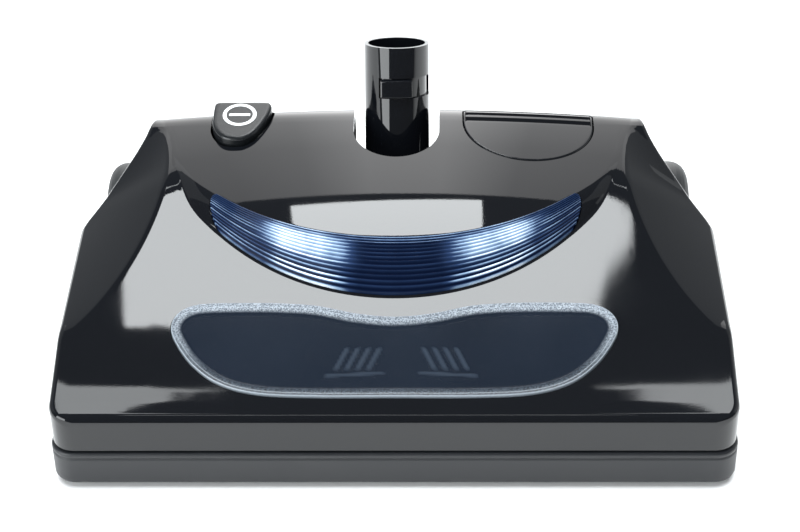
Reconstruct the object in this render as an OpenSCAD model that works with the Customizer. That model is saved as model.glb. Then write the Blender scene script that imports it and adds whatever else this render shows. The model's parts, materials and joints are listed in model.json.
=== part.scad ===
// Powered floor-cleaning head: a rolling brush head with a headlight, a clear brush window,
// two foot controls and a tilting neck that takes a 32 mm wand.
// Frame: millimetres, +Z up, -Y is the front, origin on the floor at the centre of the outline.

/* [Body] */
// Overall width over the furniture bumper
overall_w = 355; // [351:1:359]
// Overall depth from the bumper's face to the rim of the resting neck
overall_d = 240; // [238:1:242]
// Height of the seam between the base and the hood
seam_z = 25; // [24:0.5:26]
// Wall thickness of the hood
skin = 2.6; // [2.2:0.1:3]

/* [Brush] */
// Radius over the bristle tips
bristle_r = 23.5; // [22:0.5:23.5]
// Radius of the brush core
core_r = 17; // [15:0.5:17]
// Height of the brush axis
brush_z = 25; // [25:0.5:26]
// Bristle tufts along the roll
tuft_count = 35; // [25:2:35]

/* [Wheels] */
// Radius of the rear wheels over the tyre
wheel_r = 31; // [29:0.5:31]
// Radius of the front rollers
roller_r = 7; // [6:0.5:7]

/* [Neck] */
// Tilt of the resting neck from the vertical
neck_tilt = 21.5; // [21:0.5:23]
// Inner radius of the wand socket
socket_r = 16.1; // [15.6:0.1:16.3]
// Depth of the wand socket
socket_depth = 50; // [45:1:50]

/* [Hidden] */
$fn = 48;

// Plan outline of the body
half_w = overall_w / 2;
front_y = -overall_d / 2;
tub = 5.2;
hood_w = overall_w - 2;
hood_front_y = front_y + 1;
rear_y = 98;
rear_half_w = 140;
shoulder_y = 26;
arch_y = 42;
arch_half_w = 165;
flare_y = 70;
corner_r = 12;

// Top surface of the body
hood_front_z = 47;
edge_r = 3.2;
rear_edge_r = 22;
side_edge_z = 60;
crown_y = 83;
crown_z = 101;
dome_front = -44;
dome_band = 21.7;
crease_half_w = 126.4;
strip_drop = 2;
crease_y = 33;

// Brush chamber
brush_y = -76;
chamber_half_w = 152;
chamber_rear_y = -45;
wall = 3;
sole_z = 4;
sole_t = 3;
floor_z = sole_z + sole_t;
slot_front_y = -99;
slot_rear_y = -52;
slot_half_w = 146;
core_half = 144;
shaft_r = 4;
running = 0.05;
tuft_pitch = 2 * (core_half - 8) / (tuft_count - 1);

// Drive
belt_x = -160;
belt_w = 9;
belt_t = 2;
belt_gap = 0.35;
motor_y = 22;
motor_z = 46;
motor_r = 25;
motor_x0 = -130;
motor_x1 = -62;
motor_pulley_r = 5.6;
brush_pulley_r = 13;
flange = 1.8;

// Neck
pivot_y = 68;
pivot_z = 44;
tube_r = socket_r + 2.2;
neck_len = (overall_d / 2 - pivot_y - tube_r * cos(neck_tilt)) / sin(neck_tilt);
drum_r = 24;
drum_half = 21;
drum_wall = 2.5;
trunnion_r = 6;
trunnion_end = 33;
plate_x = 24.5;
plate_t = 4;
quadrant_r = 15;
notch_half = 24;
notch_y = 40.6;
slider_z = neck_len - 23;
slider_h = 10.4;

// Wheels and rollers
axle_y = 77;
axle_z = wheel_r;
axle_r = 4;
wheel_in = 144;
wheel_out = 167.5;
roller_y = -108.5;
roller_x = 110;
roller_half = 8;
roller_pin_r = 1.8;

// Foot controls
pedal_x = -87.2;
pedal_y = 70.6;
pedal_slope = 6;
pedal_proud = 5.2;
release_x = 74;
release_half = 36.5;
release_rear_y = 84.5;
release_front_y = 39.5;
hinge_y = 48;
hinge_z = 89;
hinge_r = 1.6;
lever_y = 76;
lever_z = 70;
tooth_gap = 0.5;

// Screws: one list of places for each kind
hood_screw_at = [[-140, -36], [140, -36], [-108, 87], [108, 87]];
sole_screw_at = [[-160, -108], [160, -108], [-158, -56], [158, -56], [0, -110]];
motor_screw_at = [for (x = [-122, -70], side = [-33, 33]) [x, motor_y + side]];

// ---------- Surfaces shared by the parts of the outer skin ----------

// Drop of a rounded edge at a distance d inside it
function edge_drop(d, r) = d >= r ? 0 : r - sqrt(max(0, r * r - pow(r - max(d, 0), 2)));

// Straight-line interpolation of b over a
function between(v, a0, a1, b0, b1) = b0 + (b1 - b0) * min(1, max(0, (v - a0) / (a1 - a0)));

// The long front ramp, a shallow hollow curve
function ramp_z(y) = let(t = y - hood_front_y)
    hood_front_z + 0.225 * t + 0.00058 * t * t - 0.000275 * pow(max(0, t - 61), 2);

// The crown of the dome behind it
function crown_top(x, y) = let(s = crown_y - y)
    crown_z - 0.05 * s - 0.00054 * s * abs(s) - 7 * pow(x / rear_half_w, 2);

// Front foot of the dome in plan, and the width of its steep band
function dome_foot_y(x) = dome_front + 0.0037 * x * x + 7e-8 * pow(x, 4)
    + 0.0023 * pow(max(0, abs(x) - 104), 3);
function band_w(x) = dome_band - 8.2 * pow(x / crease_half_w, 2);

// Crease between the ramp and the side facets, in plan
function crease_x(y) = let(d = (sqrt(pow(crease_y - y, 2) + 100) + crease_y - y) / 2,
        b = max(0, y - crease_y))
    crease_half_w + 0.15 * d + 0.0024 * d * d + 6e-8 * pow(d, 4) + 0.0025 * b * b;

// Half width of the body, with rounded front corners
function side_x(y) = let(d = y - hood_front_y)
    (y < shoulder_y ? hood_w / 2
        : y < arch_y ? between(y, shoulder_y, arch_y, hood_w / 2, arch_half_w)
        : between(y, arch_y, flare_y, arch_half_w, rear_half_w))
    - edge_drop(d, corner_r);

// Height of the outer edge of the side facets
function side_z(y) = y < shoulder_y ? side_edge_z
    : y < arch_y ? between(y, shoulder_y, arch_y, side_edge_z, 68)
    : between(y, arch_y, flare_y, 68, 95);

// Centre part of the skin: ramp in front of the dome's foot, steep band, then crown
function middle_z(x, y) = let(foot = dome_foot_y(x), t = (y - foot) / band_w(x),
        high = crown_top(x, y), low = min(ramp_z(y), high - strip_drop))
    t <= 0 ? low : t >= 1 ? high : low + (high - low) * (1 - pow(1 - t, 1.8));

// Whole skin, with its rounded rims
function skin_z(x, y) = let(a = abs(x), c = crease_x(y), e = side_x(y),
        top = middle_z(min(a, c), y), edge = min(side_z(y), top),
        face = a <= c || e <= c ? top : top + (edge - top) * (a - c) / (e - c))
    face - edge_drop(e - a, edge_r) - edge_drop(y - hood_front_y, edge_r)
        - edge_drop(rear_y - y, rear_edge_r);

// ---------- Helpers ----------

module x_rod(r, x0, x1, y = 0, z = 0) {
    translate([x0, y, z]) rotate([0, 90, 0]) cylinder(r = r, h = x1 - x0);
}

module block(x, y, z) {
    translate([x[0], y[0], z[0]]) cube([x[1] - x[0], y[1] - y[0], z[1] - z[0]]);
}

// A YZ outline drawn out along X
module x_prism(points, x0, x1) {
    translate([x0, 0, 0]) rotate([90, 0, 90]) linear_extrude(x1 - x0) polygon(points);
}

module mirrored() {
    children();
    mirror([1, 0, 0]) children();
}

// Swept round wire along a list of points
function unit(v) = v / norm(v);
function heading(p, i) = unit(p[min(i + 1, len(p) - 1)] - p[max(i - 1, 0)]);
function side_of(t) = unit(cross(t, abs(t[2]) < 0.9 ? [0, 0, 1] : [1, 0, 0]));
function ring_at(p, i, r, n) = let(t = heading(p, i), a = side_of(t), b = cross(t, a))
    [for (k = [0 : n - 1]) p[i] + r * (cos(360 * k / n) * a + sin(360 * k / n) * b)];

module wire(path, r, n = 8) {
    m = len(path);
    polyhedron(
        points = [for (i = [0 : m - 1]) each ring_at(path, i, r, n)],
        faces = concat(
            [[for (k = [0 : n - 1]) k]],
            [for (i = [0 : m - 2], k = [0 : n - 1]) each let(a = i * n + k,
                    b = i * n + (k + 1) % n) [[a, a + n, b + n], [a, b + n, b]]],
            [[for (k = [n - 1 : -1 : 0]) (m - 1) * n + k]]));
}

// Helical spring standing on z = 0
module coil(r, wire_r, turns, h, steps = 12) {
    wire([for (i = [0 : turns * steps])
        [r * cos(360 * i / steps), r * sin(360 * i / steps), h * i / (turns * steps)]],
        wire_r, 6);
}

// ---------- Outer skin ----------

// Columns follow the crease; rows follow the dome's foot and the top of its steep band
front_steps = [0, 0.3, 1, 2, 3.2, 5, 8, 12];
ramp_count = 8;
band_count = 7;
crown_count = 7;
rear_steps = [22, 17.5, 13, 9, 5.5, 2.6, 0.8, 0];
row_last = len(front_steps) + ramp_count + band_count + crown_count + len(rear_steps) - 1;
skin_cols = concat([for (u = [-1, -0.992, -0.975, -0.95, -0.88, -0.81]) u],
    [for (i = [-11 : 11]) i * 0.75 / 11], [for (u = [0.81, 0.88, 0.95, 0.975, 0.992, 1]) u]);

function skin_col_x(u, y, inset) = let(e = side_x(y) - inset, c = min(crease_x(y), e - 6),
        a = abs(u))
    sign(u) * (a <= 0.75 ? a / 0.75 * c : c + (a - 0.75) / 0.25 * (e - c));

// Where the dome's foot crosses a column, found by repeated substitution
function foot_on(u, y = 0, n = 16) = n == 0 ? y
    : foot_on(u, 0.6 * y + 0.4 * min(rear_y - rear_steps[0] - 6,
        dome_foot_y(min(1, abs(u) / 0.75) * crease_x(y))), n - 1);

// Row k on column u, before the inset is taken
function row_y(k, u) = let(foot = foot_on(u), top = min(rear_y - rear_steps[0] - 2,
            foot + band_w(min(1, abs(u) / 0.75) * crease_half_w)),
        y0 = hood_front_y + front_steps[len(front_steps) - 1],
        y3 = rear_y - rear_steps[0], a = len(front_steps), b = a + ramp_count,
        c = b + band_count, d = c + crown_count)
    k < a ? hood_front_y + front_steps[k]
        : k < b ? between(k - a + 1, 0, ramp_count, y0, foot)
        : k < c ? between(k - b + 1, 0, band_count, foot, top)
        : k < d ? between(k - c + 1, 0, crown_count + 1, top, y3)
        : rear_y - rear_steps[k - d];

// Solid below the skin, drawn in from it by inset on every side, down to z0
module skin_block(inset, z0) {
    m = row_last + 1;
    n = len(skin_cols);
    squeeze = (rear_y - hood_front_y - 2 * inset) / (rear_y - hood_front_y);
    top = [for (k = [0 : row_last], u = skin_cols) let(y = hood_front_y + inset
            + (row_y(k, u) - hood_front_y) * squeeze, x = skin_col_x(u, y, inset))
        [x, y, skin_z(x * side_x(y) / (side_x(y) - inset), y) - inset * 1.06]];
    low = [for (p = top) [p[0], p[1], z0]];
    function grid(i, j, up) = (up ? 0 : m * n) + i * n + j;
    faces = concat(
        [for (i = [0 : m - 2], j = [0 : n - 2], f = [0, 1])
            f == 0 ? [grid(i, j, true), grid(i + 1, j, true), grid(i + 1, j + 1, true)]
                : [grid(i, j, true), grid(i + 1, j + 1, true), grid(i, j + 1, true)]],
        [for (i = [0 : m - 2], e = [0, n - 1])
            let(q = [grid(i, e, true), grid(i, e, false), grid(i + 1, e, false),
                grid(i + 1, e, true)])
            e == 0 ? q : [q[3], q[2], q[1], q[0]]],
        [for (j = [0 : n - 2], e = [0, m - 1])
            let(q = [grid(e, j, true), grid(e, j + 1, true), grid(e, j + 1, false),
                grid(e, j, false)])
            e == 0 ? q : [q[3], q[2], q[1], q[0]]],
        [concat([for (j = [0 : n - 1]) grid(0, j, false)],
            [for (i = [1 : m - 1]) grid(i, n - 1, false)],
            [for (j = [n - 2 : -1 : 0]) grid(m - 1, j, false)],
            [for (i = [m - 2 : -1 : 1]) grid(i, 0, false)])]);
    polyhedron(points = concat(top, low), faces = faces);
}

module skin_shell(t = skin, z0 = seam_z + 0.6) {
    difference() {
        skin_block(0, z0);
        skin_block(t, z0 - 1);
    }
}

// Plan shapes of what is let into the skin
module window_plan(grow = 0) {
    offset(r = 9 + grow) offset(delta = -9)
        polygon([[-72, -105.3], [-101, -91.5], [-117, -68], [-112, -48.6], [-48, -48.8],
            [-24, -54.5], [0, -57], [24, -54.5], [48, -48.8], [112, -48.6], [117, -68],
            [101, -91.5], [72, -105.3]]);
}

lens_half = 100.5;

module lens_plan(grow = 0) {
    offset(r = 3 + grow) offset(delta = -3)
        polygon(concat(
            [for (i = [-12 : 12]) let(x = lens_half * i / 12) [x, dome_foot_y(x) + 0.8]],
            [for (i = [12 : -1 : -12]) let(x = (lens_half - 4) * i / 12)
                [x, dome_foot_y(x) + band_w(x) + 0.5]]));
}

module release_plan(grow = 0) {
    offset(delta = grow)
        polygon(concat([[release_x + release_half, release_rear_y],
            [release_x - release_half, release_rear_y]],
            [for (a = [180 : 12 : 360]) [release_x + release_half * cos(a),
                72 + (72 - release_front_y) * sin(a)]]));
}

module power_plan(grow = 0) {
    offset(r = grow + 4) offset(delta = -4)
        polygon([[16.2, 16.6], [-16.3, 16.6], [-16.4, -4], [-12.8, -12], [-8, -15.6],
            [-2, -16.4], [3, -15.4], [8.5, -10.6], [13.4, -1.5], [16.4, 7]]);
}

module power_frame() {
    translate([pedal_x, pedal_y, crown_top(pedal_x, pedal_y)])
        rotate([pedal_slope, 0, 0]) children();
}

module notch_cut() {
    translate([0, 0, 29]) linear_extrude(90) union() {
        translate([-notch_half, notch_y + 17]) square([2 * notch_half, 60]);
        intersection() {
            translate([0, notch_y + notch_half]) circle(r = notch_half, $fn = 64);
            translate([-notch_half, notch_y]) square([2 * notch_half, 30]);
        }
    }
}

module wheel_cut() {
    mirrored() x_rod(wheel_r + 3, wheel_in - 3.5, half_w + 5, axle_y, axle_z);
}

module hood_bosses() {
    for (p = hood_screw_at) translate([p[0], p[1], floor_z + 6]) cylinder(r = 5, h = 80);
}

module hood() {
    color("#15171a") resize([hood_w, 0, 0]) difference() {
        union() {
            skin_shell();
            intersection() {
                hood_bosses();
                skin_block(skin - 0.2, seam_z);
                translate([0, 0, 40]) linear_extrude(90) square([400, 300], center = true);
            }
        }
        linear_extrude(150) window_plan(0.4);
        linear_extrude(150) lens_plan(0.4);
        linear_extrude(150) release_plan(0.9);
        power_frame() translate([0, 0, -25]) linear_extrude(60) power_plan(1.2);
        notch_cut();
        wheel_cut();
        block([-82, -48], [rear_y - 12, rear_y + 5], [34, 56]);
        mirrored() block([120, 140], [axle_y - axle_r - 1, axle_y + axle_r + 1],
            [20, axle_z + axle_r + 1]);
        for (p = hood_screw_at) translate([p[0], p[1], 20]) cylinder(r = 2.1, h = 40);
    }
}

module brush_window() {
    color("#5a6c7c", 0.5) intersection() {
        x_prism(concat([for (y = [-112 : 6 : -40]) [y, ramp_z(y) + 1.6]],
            [for (y = [-40 : -6 : -112]) [y, ramp_z(y) - skin]]), -130, 130);
        translate([0, 0, 20]) linear_extrude(80) window_plan();
    }
}

module headlight_lens() {
    color("#33508a", 0.6) resize([2 * lens_half - 0.2, 0, 0]) intersection() {
        skin_shell();
        linear_extrude(150) lens_plan();
    }
}

module headlight_reflector() {
    color("silver") resize([2 * reflector_half, 0, 0]) intersection() {
        difference() {
            skin_block(13.5, 40);
            skin_block(14.8, 39);
        }
        difference() {
            linear_extrude(150) intersection() {
                offset(delta = -3) lens_plan();
                square([2 * reflector_half, 200], center = true);
            }
            mirrored() translate([53, -20.5, 0]) cylinder(r = 5, h = 150);
        }
    }
}

bulb_at = [40, -21, 78.5];
reflector_half = 84;

module headlight_bulbs() {
    color("#fff4d0", 0.6) mirrored()
        translate(bulb_at) rotate([0, -90, 0]) {
            cylinder(r = 2.3, h = 12);
            translate([0, 0, 12]) sphere(r = 2.3);
        }
}

module bulb_sockets() {
    color("ivory") mirrored()
        x_rod(2.6, bulb_at[0] + 0.1, bulb_at[0] + 9, bulb_at[1], bulb_at[2]);
}

// ---------- Base ----------

module plan(inset, rear = rear_y) {
    i = inset;
    offset(r = corner_r - i) offset(delta = -(corner_r - i))
        polygon([[-half_w + i, front_y + i], [half_w - i, front_y + i],
            [half_w - i, shoulder_y], [arch_half_w - i, arch_y], [rear_half_w - i, flare_y],
            [rear_half_w - i, rear - i], [-rear_half_w + i, rear - i],
            [-rear_half_w + i, flare_y], [-arch_half_w + i, arch_y],
            [-half_w + i, shoulder_y]]);
}

module brush_slot() {
    block([-slot_half_w, slot_half_w], [slot_front_y, slot_rear_y], [0, 40]);
}

module roller_pockets(grow = 0) {
    mirrored() block([roller_x - roller_half - 1 - grow, roller_x + roller_half + 1 + grow],
        [roller_y - roller_r - 0.8 - grow, roller_y + roller_r + 0.8 + grow],
        [0, 2 * roller_r + 1 + grow]);
}

module base_housing() {
    color("#202327") difference() {
        union() {
            translate([0, 0, floor_z]) linear_extrude(wall) plan(tub);
            translate([0, 0, floor_z]) linear_extrude(seam_z + 3 - floor_z) difference() {
                plan(tub);
                plan(tub + wall);
            }
            // Axle blocks beside the rear wheels
            mirrored() block([118, rear_half_w - tub - 0.5], [axle_y - 10, axle_y + 10],
                [floor_z + 1, axle_z + 10]);
            // Walls of the front roller pockets
            mirrored() block([roller_x - roller_half - 4, roller_x + roller_half + 4],
                [front_y + tub, slot_front_y], [floor_z, 2 * roller_r + 4]);
            // Screw pillars
            for (p = hood_screw_at) translate([p[0], p[1], floor_z])
                cylinder(r = 5, h = 32.6);
            for (p = motor_screw_at) translate([p[0], p[1], floor_z]) cylinder(r = 4, h = 12);
        }
        roller_pockets();
        inner_cuts();
        mirrored() x_rod(axle_r, 115, 140, axle_y, axle_z);
        mirrored() x_rod(roller_pin_r + running, roller_x - 20, roller_x + 20,
            roller_y, roller_r);
        x_rod(brush_pulley_r + 2.8, belt_x - 8, belt_x + 8, brush_y, brush_z);
        wheel_cut();
        for (p = hood_screw_at) translate([p[0], p[1], floor_z - 1]) {
            cylinder(r = 2.2, h = 50);
            cylinder(r = 4.2, h = 4);
        }
        for (p = motor_screw_at) translate([p[0], p[1], floor_z + 4]) cylinder(r = 1.6, h = 20);
        for (p = sole_screw_at) translate([p[0], p[1], floor_z - 1]) cylinder(r = 1.8, h = 6);
        block([-notch_half, notch_half], [rear_y - 8, rear_y + 5], [seam_z - 1, 60]);
        // The rim is set back where the hood's side wall turns in
        mirrored() block([half_w - tub - 2, half_w], [shoulder_y - 6, shoulder_y + 6],
            [seam_z, seam_z + 4]);
    }
}

// Walls that stand on the base's floor
module inner_frame() {
    stand_z = floor_z + wall;
    color("#2f3439") difference() {
        union() {
            // Brush chamber: rear wall and two end walls
            block([-chamber_half_w, chamber_half_w], [chamber_rear_y - wall, chamber_rear_y],
                [stand_z, 58]);
            mirrored() x_prism([[front_y + tub + wall, stand_z], [front_y + tub + wall, 39],
                [chamber_rear_y - 1, 57], [chamber_rear_y - 1, stand_z]],
                chamber_half_w - wall, chamber_half_w);
            // Side plates that carry the neck
            mirrored() block([plate_x, plate_x + plate_t], [pivot_y - 16, pivot_y + 16],
                [stand_z, pivot_z + 9]);
            // Post for the lock lever's pin, and one under the power switch
            block([plate_x, plate_x + plate_t], [lever_y - 5, lever_y + 5],
                [pivot_z, lever_z + 5]);
            block([pedal_x - 6, pedal_x + 6], [pedal_y - 4, pedal_y + 8], [stand_z, 66]);
        }
        inner_cuts();
    }
}

module inner_cuts() {
    brush_slot();
    // Duct inlet through the chamber's rear wall
    block([-17, 17], [chamber_rear_y - 6, chamber_rear_y + 6], [15, 41]);
    // Brush shaft and end caps
    mirrored() x_rod(11.2, chamber_half_w - 10, chamber_half_w + 2, brush_y, brush_z);
    // Neck trunnion bushes and the lock lever's pin
    mirrored() x_rod(trunnion_r + 2, plate_x - 1, plate_x + plate_t + 1, pivot_y, pivot_z);
    x_rod(2, plate_x - 1, plate_x + plate_t + 1, lever_y, lever_z);
}

module furniture_bumper() {
    color("#2b2e31") difference() {
        union() {
            translate([0, 0, sole_z]) linear_extrude(seam_z - sole_z - 2.4) plan(0);
            translate([0, 0, seam_z - 2.4]) linear_extrude(1.8) plan(0.8);
        }
        roller_pockets();
        linear_extrude(60) plan(tub - 0.1);
        block([-200, 200], [shoulder_y + 6, 120], [0, 60]);
    }
}

module soleplate() {
    color("#3a3d40") difference() {
        translate([0, 0, sole_z]) linear_extrude(sole_t) intersection() {
            plan(tub);
            translate([-200, -150]) square([400, 118]);
        }
        difference() {
            brush_slot();
            // Guard bars lie between the tufts
            for (k = [-12, -6, 0, 6, 12])
                block([(k + 0.5) * tuft_pitch - 1.2, (k + 0.5) * tuft_pitch + 1.2],
                    [slot_front_y - 1, slot_rear_y + 1], [sole_z - 1, sole_z + 2.2]);
        }
        roller_pockets();
        block([-147, 147], [-46.2, -43.8], [0, 10]);
        for (p = sole_screw_at) translate([p[0], p[1], sole_z - 1]) {
            cylinder(r = 2, h = 8);
            cylinder(r = 3.8, h = 2.6);
        }
        mirrored() x_rod(roller_pin_r + running, roller_x - 20, roller_x + 20,
            roller_y, roller_r);
    }
}

module rear_squeegee() {
    color("#1b1b1b") block([-146, 146], [-46, -44], [1, floor_z - 0.1]);
}

// ---------- Brush and drive ----------

module brush_core() {
    color("#2a2d30") difference() {
        x_rod(core_r, -core_half, core_half, brush_y, brush_z);
        x_rod(shaft_r, -core_half - 1, core_half + 1, brush_y, brush_z);
    }
}

// Two helical rows that run in from the ends and meet in the middle
module brush_bristles() {
    color("#101010") for (row = [0, 180], k = [0 : tuft_count - 1]) {
        x = -(core_half - 8) + k * tuft_pitch;
        translate([x, brush_y, brush_z]) rotate([row + 1.05 * abs(x) + 40, 0, 0])
            translate([0, 0, core_r - 3]) cylinder(r1 = 1.5, r2 = 2.1, h = bristle_r - core_r + 3);
    }
}

module brush_shaft() {
    color("silver") x_rod(shaft_r, belt_x - 7, chamber_half_w + 1.5, brush_y, brush_z);
}

module pulley(r, y, z, bore) {
    difference() {
        union() {
            x_rod(r, belt_x - belt_w / 2 - 0.4, belt_x + belt_w / 2 + 0.4, y, z);
            for (x = [belt_x - belt_w / 2 - 1.6, belt_x + belt_w / 2 + 0.4])
                x_rod(r + flange, x, x + 1.2, y, z);
        }
        x_rod(bore, belt_x - 10, belt_x + 10, y, z);
    }
}

module brush_pulley() {
    color("#d8d8d0") pulley(brush_pulley_r, brush_y, brush_z, shaft_r);
}

module brush_bearings() {
    color("silver") for (x = [-chamber_half_w, chamber_half_w - 6]) difference() {
        x_rod(8, x, x + 6, brush_y, brush_z);
        x_rod(shaft_r + running, x - 1, x + 7, brush_y, brush_z);
    }
}

module end_cap(side) {
    color("#24272a") mirror([side > 0 ? 0 : 1, 0, 0]) difference() {
        union() {
            x_rod(11, chamber_half_w - 6, chamber_half_w, brush_y, brush_z);
            block([chamber_half_w - 6, chamber_half_w - wall - 0.2],
                [brush_y - 14, brush_y + 14], [floor_z + 3.2, 40]);
        }
        x_rod(8, chamber_half_w - 8, chamber_half_w + 2, brush_y, brush_z);
        // Clear of the core's end face
        x_rod(core_r + 2, chamber_half_w - 9, chamber_half_w - 7, brush_y, brush_z);
    }
}

module left_end_cap() { end_cap(-1); }
module right_end_cap() { end_cap(1); }

module motor_can() {
    color("#8d9196") difference() {
        x_rod(motor_r, motor_x0, motor_x1, motor_y, motor_z);
        x_rod(motor_r - 2, motor_x0 + 2, motor_x1 + 1, motor_y, motor_z);
        x_rod(5 + running, motor_x0 - 1, motor_x0 + 3, motor_y, motor_z);
        for (a = [30 : 60 : 330]) translate([motor_x0 + 1, motor_y, motor_z])
            rotate([a, 0, 0]) translate([0, 0, 16]) rotate([0, 90, 0])
                cylinder(r = 4, h = 6, center = true);
    }
}

module motor_end_bell() {
    color("#2b2f36") difference() {
        union() {
            x_rod(motor_r, motor_x1 + 0.1, motor_x1 + 6, motor_y, motor_z);
            x_rod(9, motor_x1 + 5, motor_x1 + 11, motor_y, motor_z);
        }
        x_rod(motor_r - 3, motor_x1 - 1, motor_x1 + 3.5, motor_y, motor_z);
        x_rod(4 + running, motor_x1 - 1, motor_x1 + 9, motor_y, motor_z);
    }
}

module motor_rotor() {
    color("#b87333") {
        x_rod(5, motor_x0 - 4, motor_x0 + 10, motor_y, motor_z);
        x_rod(shaft_r, belt_x - 7, motor_x1 + 8, motor_y, motor_z);
        x_rod(17, motor_x0 + 22, motor_x1 - 14, motor_y, motor_z);
        x_rod(9, motor_x1 - 12, motor_x1 - 3, motor_y, motor_z);
    }
}

module motor_fan() {
    color("#5a5f66") difference() {
        union() {
            x_rod(20, motor_x0 + 11, motor_x0 + 12.5, motor_y, motor_z);
            x_rod(8, motor_x0 + 11, motor_x0 + 19, motor_y, motor_z);
            for (a = [0 : 40 : 320]) translate([motor_x0 + 12, motor_y, motor_z])
                rotate([a, 0, 0]) translate([0, -0.6, 7]) cube([6, 1.2, 12.5]);
        }
        x_rod(shaft_r, motor_x0, motor_x0 + 30, motor_y, motor_z);
    }
}

module motor_pulley() {
    color("#d8d8d0") pulley(motor_pulley_r, motor_y, motor_z, shaft_r);
}

module motor_cradle() {
    color("#30343a") difference() {
        union() {
            for (x = [motor_x0 + 4, motor_x1 - 12])
                block([x, x + 8], [motor_y - 24, motor_y + 24], [floor_z + wall + 9.2, 34]);
            block([motor_x0 + 2, motor_x1 - 2], [motor_y - 37, motor_y + 37],
                [floor_z + wall + 9.2, floor_z + wall + 12.2]);
        }
        x_rod(motor_r + 0.2, motor_x0 - 1, motor_x1 + 1, motor_y, motor_z);
        for (p = motor_screw_at) translate([p[0], p[1], 0]) cylinder(r = 2, h = 40);
    }
}

module motor_strap() {
    x0 = motor_x0 + 30;
    color("#9aa0a6") difference() {
        x_rod(motor_r + 1.6, x0, x0 + 12, motor_y, motor_z);
        x_rod(motor_r + 0.2, x0 - 1, x0 + 13, motor_y, motor_z);
        block([x0 - 1, x0 + 13], [motor_y - 40, motor_y + 40], [0, 35]);
    }
}

// Closed belt round two pulleys
module belt_outline(grow) {
    hull() {
        translate([motor_y, motor_z]) circle(r = motor_pulley_r + grow);
        translate([brush_y, brush_z]) circle(r = brush_pulley_r + grow);
    }
}

module drive_belt() {
    color("#141414") translate([belt_x - belt_w / 2, 0, 0]) rotate([90, 0, 90])
        linear_extrude(belt_w) difference() {
            belt_outline(belt_gap + belt_t);
            belt_outline(belt_gap);
        }
}

// Thin guard between the belt and the rest of the case
module belt_cover() {
    x0 = belt_x + 8.6;
    color("#3b3f44") difference() {
        x_prism([[chamber_rear_y + 2, floor_z + wall + 0.2], [chamber_rear_y + 2, 50],
            [motor_y - 12, 64], [motor_y + 16, 64], [motor_y + 16, floor_z + wall + 0.2]],
            x0, x0 + 2);
        x_rod(motor_pulley_r + 4, x0 - 1, x0 + 3, motor_y, motor_z);
    }
}

// ---------- Suction path and neck ----------

module suction_duct() {
    clear_r = drum_r + 1.6;
    color("#33373c") difference() {
        x_prism([[-44.8, 12], [-44.8, 44], [4, 52], [30, 62], [47.5, 62], [54, 55], [54, 40], [34, 36],
            [8, 20]], -20, 20);
        x_prism([[-50, 15], [-50, 41], [3, 49], [28, 59], [60, 59], [60, 43.5], [33, 39],
            [8, 23]], -17, 17);
        x_rod(clear_r, -25, 25, pivot_y, pivot_z);
    }
}

module duct_seal() {
    color("#111111") difference() {
        intersection() {
            x_rod(drum_r + 1.5, -19.9, 19.9, pivot_y, pivot_z);
            block([-25, 25], [38, 54], [40.5, 59.6]);
        }
        x_rod(drum_r + 0.3, -25, 25, pivot_y, pivot_z);
        block([-17, 17], [30, 60], [44, 58.5]);
    }
}

module neck_frame() {
    translate([0, pivot_y, pivot_z]) rotate([-neck_tilt, 0, 0]) children();
}

// Wedge about the X axis, from a0 to a1 degrees measured from +Z towards the front
module drum_sector(r, half, a0, a1) {
    n = 6;
    rotate([90, 0, 90]) linear_extrude(2 * half, center = true)
        polygon(concat([[0, 0]], [for (i = [0 : n]) let(a = a0 + (a1 - a0) * i / n)
            [-r * sin(a) / cos((a1 - a0) / n / 2), r * cos(a) / cos((a1 - a0) / n / 2)]]));
}

module neck_tube() {
    color("#121417") neck_frame() difference() {
        union() {
            x_rod(drum_r, -drum_half, drum_half);
            cylinder(r = tube_r, h = neck_len);
            x_rod(trunnion_r, -trunnion_end, trunnion_end);
            x_rod(quadrant_r, plate_x + plate_t + 1, plate_x + plate_t + 4.5);
        }
        x_rod(drum_r - drum_wall, -drum_half + drum_wall, drum_half - drum_wall);
        cylinder(r = socket_r - 1.6, h = neck_len + 1);
        translate([0, 0, neck_len - socket_depth]) cylinder(r = socket_r, h = socket_depth + 1);
        difference() {
            drum_sector(drum_r + 4, 16, 68, 165);
            x_rod(drum_r - drum_wall - 1, -30, 30);
        }
        // Lock notch in the quadrant, at the top when the neck rests
        rotate([neck_tilt, 0, 0]) block([plate_x + plate_t, 40], [-2.6, 2.6],
            [quadrant_r - 4, quadrant_r + 4]);
        // Groove for the wand lock, from the left edge of the slider round to the right
        translate([0, 0, slider_z - slider_h / 2 - 0.5]) difference() {
            rotate([0, 0, -90 - 33]) rotate_extrude(angle = 133)
                translate([tube_r - 1.5, 0]) square([4, slider_h + 1]);
        }
        // Catch hole behind the slider
        translate([0, 0, slider_z]) rotate([90, 0, 0]) cylinder(r = 2.5, h = 30);
    }
}

module neck_bushes() {
    color("#e8e4d8") mirrored() difference() {
        x_rod(trunnion_r + 2, plate_x, plate_x + plate_t, pivot_y, pivot_z);
        x_rod(trunnion_r + running, plate_x - 1, plate_x + plate_t + 1, pivot_y, pivot_z);
    }
}

module wand_lock_slider() {
    color("#16181b") neck_frame() translate([0, 0, slider_z - slider_h / 2])
        rotate([0, 0, -90 - 25]) rotate_extrude(angle = 50)
            translate([tube_r - 1.3, 0]) square([4.2, slider_h]);
}

// ---------- Wheels ----------

module axle(side) {
    color("silver") mirror([side > 0 ? 0 : 1, 0, 0])
        x_rod(axle_r, 119, wheel_out - 2.5, axle_y, axle_z);
}

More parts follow.
